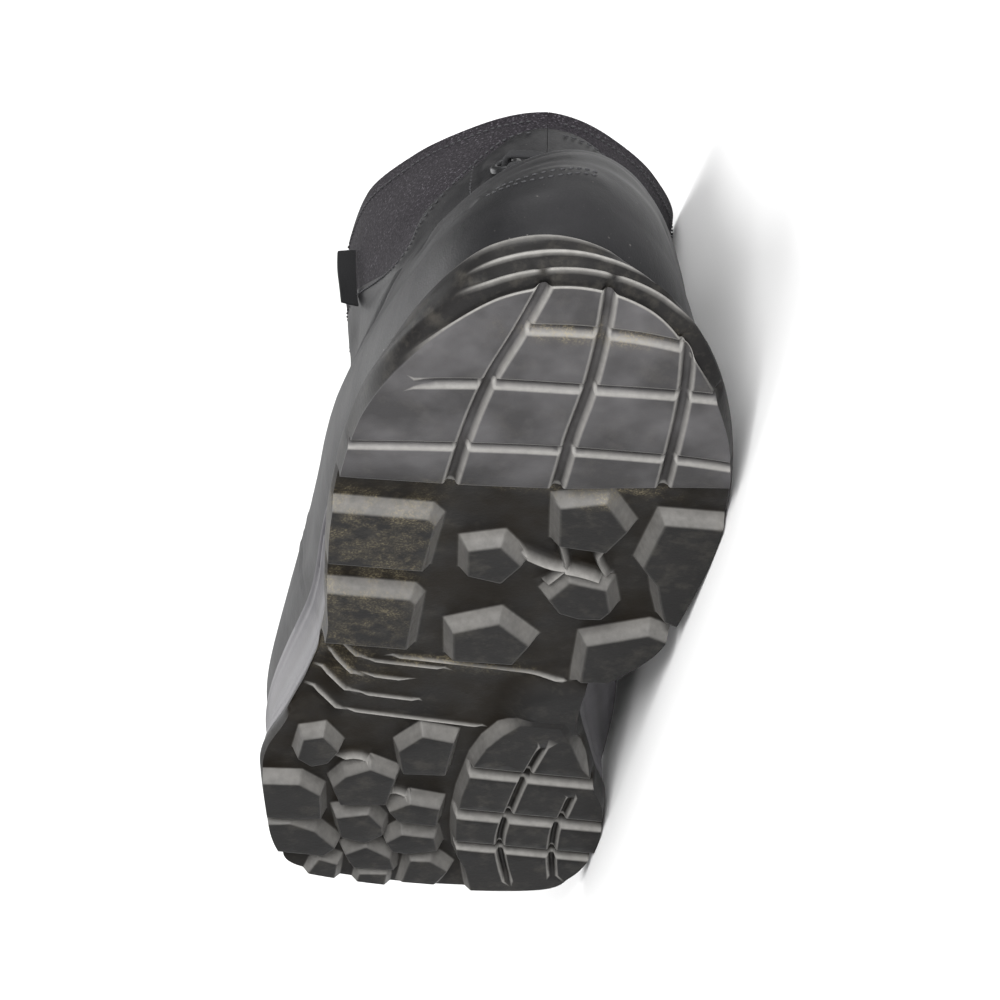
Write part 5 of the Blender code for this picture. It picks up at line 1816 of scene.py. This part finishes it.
def foam_finish():
    """Dark grey foam, with painted shade in its moulded lines."""
    finish, tree, shader = start_finish("midsole_black")
    cloud = noise(tree, 80, 4)
    base = blend(tree, band(tree, cloud, 0.35, 0.65), FOAM_DARK, FOAM_PALE)
    # Painted shade: the recess mark darkens the foam's moulded lines.
    base = blend(tree, band(tree, mark(tree, "recess"), 0.6, 1.0), base, FOAM_LINE_SHADE)
    tree.links.new(base, shader.inputs["Base Color"])
    shader.inputs["Roughness"].default_value = 0.5
    bumped(tree, shader, (noise(tree, 1200, 3), 0.3, 0.2))
    return finish


FOAM = foam_finish()

# %% Leather
LEATHER_DARK, LEATHER_PALE = (0.0065, 0.0065, 0.007), (0.012, 0.0117, 0.0126)
LEATHER_RUB = (0.05, 0.049, 0.049)
# Darker colour for the folds, a painted shade.
LEATHER_FOLD_SHADE = (0.008, 0.008, 0.008)
DUST_FLECK = (0.20, 0.19, 0.18)


def leather_finish():
    """Smooth black leather with fine grain, rubbed paler on high places and darkened in its folds as
    painted shade.
    """
    finish, tree, shader = start_finish("black_leather")
    cloud = noise(tree, 35, 4)
    place = node(tree, "TexCoord").outputs["Object"]
    pores = node(tree, "TexVoronoi", {"Vector": place, "Scale": 1400.0})
    worn = times(tree, mark(tree, "edge"), band(tree, noise(tree, 220, 4), 0.35, 0.6))
    flecks = band(tree, noise(tree, 700, 2, 0.5), 0.72, 0.78)
    base = blend(tree, band(tree, cloud, 0.35, 0.68), LEATHER_DARK, LEATHER_PALE)
    base = blend(tree, times(tree, worn, 0.5), base, LEATHER_RUB)
    # Painted shade: the recess mark darkens the leather in crease troughs.
    base = blend(tree, times(tree, mark(tree, "recess"), 0.5), base, LEATHER_FOLD_SHADE)
    base = blend(tree, times(tree, flecks, 0.35), base, DUST_FLECK)
    tree.links.new(base, shader.inputs["Base Color"])
    tree.links.new(band(tree, cloud, 0.3, 0.7, 0.44, 0.56), shader.inputs["Roughness"])
    shader.inputs["Specular IOR Level"].default_value = 0.13
    bumped(tree, shader, (pores.outputs["Distance"], 0.18, 0.2), (noise(tree, 120, 4), 0.25, 0.9))
    return finish


LEATHER = leather_finish()

# %% Knit
WEAVE_SCALE = 1500


def knit_finish(name, dark, light, fleck):
    """Dense knit: a fine weave in the bump and pale lint on the surface."""
    finish, tree, shader = start_finish(name)
    weave = noise(tree, WEAVE_SCALE, 2, 0.6)
    lint = band(tree, noise(tree, WEAVE_SCALE, 2, 0.6), 0.60, 0.68)
    patches = band(tree, noise(tree, 70, 3), 0.4, 0.65, 0.3, 1.0)
    base = blend(tree, band(tree, weave, 0.35, 0.65), dark, light)
    base = blend(tree, times(tree, lint, patches), base, fleck)
    tree.links.new(base, shader.inputs["Base Color"])
    shader.inputs["Roughness"].default_value = 0.9
    shader.inputs["Specular IOR Level"].default_value = 0.05
    shader.inputs["Sheen Weight"].default_value = 0.02
    shader.inputs["Sheen Roughness"].default_value = 0.5
    bumped(tree, shader, (weave, 0.6, 0.5))
    return finish


KNIT = knit_finish("collar_knit", (0.007, 0.006, 0.0075), (0.019, 0.0165, 0.020),
                   (0.075, 0.069, 0.078))
LINING = knit_finish("lining_knit", (0.016, 0.016, 0.016), (0.032, 0.031, 0.031),
                     (0.06, 0.06, 0.06))

# %% Cord, metal, thread and felt
def simple_finish(name, colour, rough, metal=0.0, grain=900.0, depth=0.2):
    """One colour with a grain in the bump, for the small pieces."""
    finish, tree, shader = start_finish(name)
    shader.inputs["Base Color"].default_value = (*colour, 1)
    shader.inputs["Roughness"].default_value = rough
    shader.inputs["Metallic"].default_value = metal
    shader.inputs["Specular IOR Level"].default_value = 0.15
    bumped(tree, shader, (noise(tree, grain, 3), 0.4, depth))
    return finish


FELT = simple_finish("insole_felt", (0.04, 0.04, 0.042), 0.95)
CORD = simple_finish("lace_cord", (0.018, 0.018, 0.019), 0.8, grain=2500.0, depth=0.3)
METAL = simple_finish("black_eyelet", (0.03, 0.03, 0.031), 0.35, 0.8, 600.0, 0.05)
THREAD = simple_finish("black_thread", (0.028, 0.028, 0.03), 0.6)
WEAVE = simple_finish("label_weave", (0.006, 0.006, 0.0065), 0.8, grain=2200.0, depth=0.3)
print(len(bpy.data.materials), "materials")

# %% [markdown]
# ## Putting the pieces together
#
# Each piece is made, given its finishes, and hung on the boot's one body in place of
# the imported model's plain solid. The shell and the tongue have three finishes each:
# leather, knit and lining. The tongue is padded.

# %% Put the pieces together
outsole = make("outsole_skin", outsole_points, outsole_faces, [RUBBER], outsole_marks, sharp=50)
finish_piece(outsole, "outsole_rubber", "outsole")

loops, recess = midsole_form()
midsole = solid("midsole_body", loops, 12, FOAM, lambda x: plate_z(x) + GAP, footbed_z, recess)
finish_piece(midsole, "midsole_foam", "midsole")

loops = insole_form()
insole = solid("insole_body", loops, 9, FELT, lambda x: footbed_z(x) + GAP,
               lambda x: footbed_z(x) + GAP + INSOLE_PROFILE[-1][1])
finish_piece(insole, "insole_felt", "insole")

points, faces, slots, marks = upper_form()
upper = make("upper_shell", points, faces, [LEATHER, KNIT, LINING], marks, slots)
finish_piece(upper, "upper_leather", "upper")

points, faces, slots, marks = tongue_form()
tongue = make("tongue_pad", points, faces, [LEATHER, KNIT, LINING], marks, slots)
finish_piece(tongue, "tongue_textile", "tongue")

points, faces = laces_form()
laces = make("lace_run", points, faces, [CORD])
finish_piece(laces, "lace_cord", "laces")

for word, where in (("outer", -1), ("inner", 1)):
    for row, level in enumerate(EYELET_LEVELS):
        name = f"eyelet_{word}_{row + 1}"
        points, faces = eyelet_form(level, where * EYELET_TURN)
        ring = make(name + "_ring", points, faces, [METAL], sharp=50)
        finish_piece(ring, "eyelet_metal", name)

points, faces = label_form()
label = make("side_tab", points, faces, [WEAVE])
finish_piece(label, "side_label_weave", "side_label")

# %% [markdown]
# ## Sewing the seams
#
# These are the seams that show: one along the leather's edge, two rows over the toe,
# one on each side of the throat and of its facing, one under the hem and two across
# the tongue. Each is hung on the boot's body in place of the plain solid of the piece that it is sewn
# through.

# %% Sew the seams
# Step, length and width of the stitches in leather and in knit.
LEATHER_STITCH = (2.4, 1.7, 0.6)
KNIT_STITCH = (2.0, 1.5, 0.6)
TOE_SEAM = [(3.05, -0.34), (2.96, -0.257), (2.92, -0.196), (2.9, -0.131), (3.0, -0.03), (3.14, 0.044),
            (3.2, 0.1)]
TOE_SEAM_GAP = 0.26      # levels between the two rows of the toe's seam
THROAT_SEAM = [(8.2, 0.15), (9.0, 0.135), (10.0, 0.135), (11.3, 0.135)]
FACING_SEAM = [(8.1, 0.50), (9.0, 0.47), (10.0, 0.47), (11.0, 0.44)]
upper_seams = [
    leather_edge_seam(0.2, 0.85),
    seam_on_last(TOE_SEAM, 0.1),
    seam_on_last([(level + TOE_SEAM_GAP, turn) for level, turn in TOE_SEAM], 0.1),
]
for where in (-1, 1):
    for places, lift in ((THROAT_SEAM, 0.1), (FACING_SEAM, 0.15)):
        upper_seams.append(seam_on_last([(level, where * turn) for level, turn in places], lift))
edge_rows = stitched("leather_stitches", upper_seams, *LEATHER_STITCH, THREAD)
finish_piece(edge_rows, "upper_leather", "upper")
knit_rows = stitched("hem_stitches", [hem_seam(0.24, 0.3)], *KNIT_STITCH, THREAD)
finish_piece(knit_rows, "upper_leather", "upper")
tongue_seams = [tongue_seam(0.028, -0.25), tongue_seam(0.19, 0.4)]
tongue_rows = stitched("tongue_stitches", tongue_seams, *KNIT_STITCH, THREAD)
finish_piece(tongue_rows, "tongue_textile", "tongue")

# %% [markdown]
# ## Floor, light and camera
#
# A black boot shows its form by what it reflects, so it is lit by large square
# softboxes, and a dim even surround keeps the shadows open. A wide one on the outer
# side lights the quarter and a strong one low in front grazes the tread, which makes
# the lugs' edges stand out against their floor. The floor is a plain pale sheet. The
# camera looks from in front of the toe and from under the tread. It is far off with a
# long lens, so that near and far parts keep their proportions.

# %% The floor
FLOOR_HALF = 20          # metres, so that its edge is never in view
FLOOR_COLOUR = (0.74, 0.74, 0.74, 1)


def sheet_of_floor():
    """A pale sheet under the boot."""
    mesh = bpy.data.meshes.new("floor")
    corners = [(x * FLOOR_HALF, y * FLOOR_HALF, 0) for x, y in ((-1, -1), (1, -1), (1, 1), (-1, 1))]
    mesh.from_pydata(corners, [], [(0, 1, 2, 3)])
    finish, _, shader = start_finish("pale_floor")
    shader.inputs["Base Color"].default_value = FLOOR_COLOUR
    shader.inputs["Roughness"].default_value = 0.9
    mesh.materials.append(finish)
    floor = bpy.data.objects.new("floor", mesh)
    bpy.context.scene.collection.objects.link(floor)
    return floor


sheet_of_floor()

# %% Lights
BOOT_MIDDLE = Vector(world((57.3, 14.4, 90.4)))      # what lights and camera are aimed at
SURROUND = 0.24


def soft_light(name, direction, distance, size, power):
    """A square softbox in a direction from the boot's middle, in boot axes."""
    light = bpy.data.lights.new(name, "AREA")
    light.size, light.energy = size, power
    thing = bpy.data.objects.new(name, light)
    bpy.context.scene.collection.objects.link(thing)
    towards = Vector(TURN @ np.array(direction)).normalized()
    thing.location = BOOT_MIDDLE + towards * distance
    thing.rotation_euler = towards.to_track_quat("Z", "Y").to_euler()


soft_light("over_the_toe", (0.50, -0.25, 0.83), 1.7, 1.0, 16)
soft_light("low_front", (0.90, -0.27, -0.34), 1.8, 0.8, 74)
soft_light("under_the_toe", (-0.20, -0.25, -0.95), 1.7, 0.9, 14)
soft_light("outer_side", (-0.45, -0.85, 0.25), 2.4, 2.2, 76)
soft_light("far_card", (-0.84, -0.34, 0.51), 1.7, 0.8, 2.2)
surround = bpy.data.worlds.new("studio")
surround.use_nodes = True
backdrop = surround.node_tree.nodes["Background"]
backdrop.inputs["Color"].default_value = (1, 1, 1, 1)
backdrop.inputs["Strength"].default_value = SURROUND
bpy.context.scene.world = surround
print(len(bpy.data.lights), "lights")

# %% Camera
VIEW_BACK = np.array((0.8461, -0.1440, -0.5132))     # from the boot to the eye, in boot axes
VIEW_UP = np.array((0.5067, -0.0813, 0.8583))
FRAME_WIDTH = 0.271      # metres across the picture at the boot's middle
DISTANCE = 9.0           # metres from there to the eye
back = Vector(TURN @ VIEW_BACK).normalized()
up = Vector(TURN @ VIEW_UP)
up = (up - up.dot(back) * back).normalized()
right = up.cross(back)
lens = bpy.data.cameras.new("camera")
lens.sensor_width = 36.0
lens.lens = lens.sensor_width / FRAME_WIDTH * DISTANCE
lens.clip_end = 60.0
camera = bpy.data.objects.new("camera", lens)
bpy.context.scene.collection.objects.link(camera)
axes = Matrix([[right[k], up[k], back[k]] for k in range(3)]).to_4x4()
camera.matrix_world = Matrix.Translation(BOOT_MIDDLE + back * DISTANCE) @ axes
bpy.context.scene.camera = camera
bpy.context.scene.view_settings.view_transform = "Standard"
print("lens: %.0f mm, %.0f m away" % (lens.lens, DISTANCE))
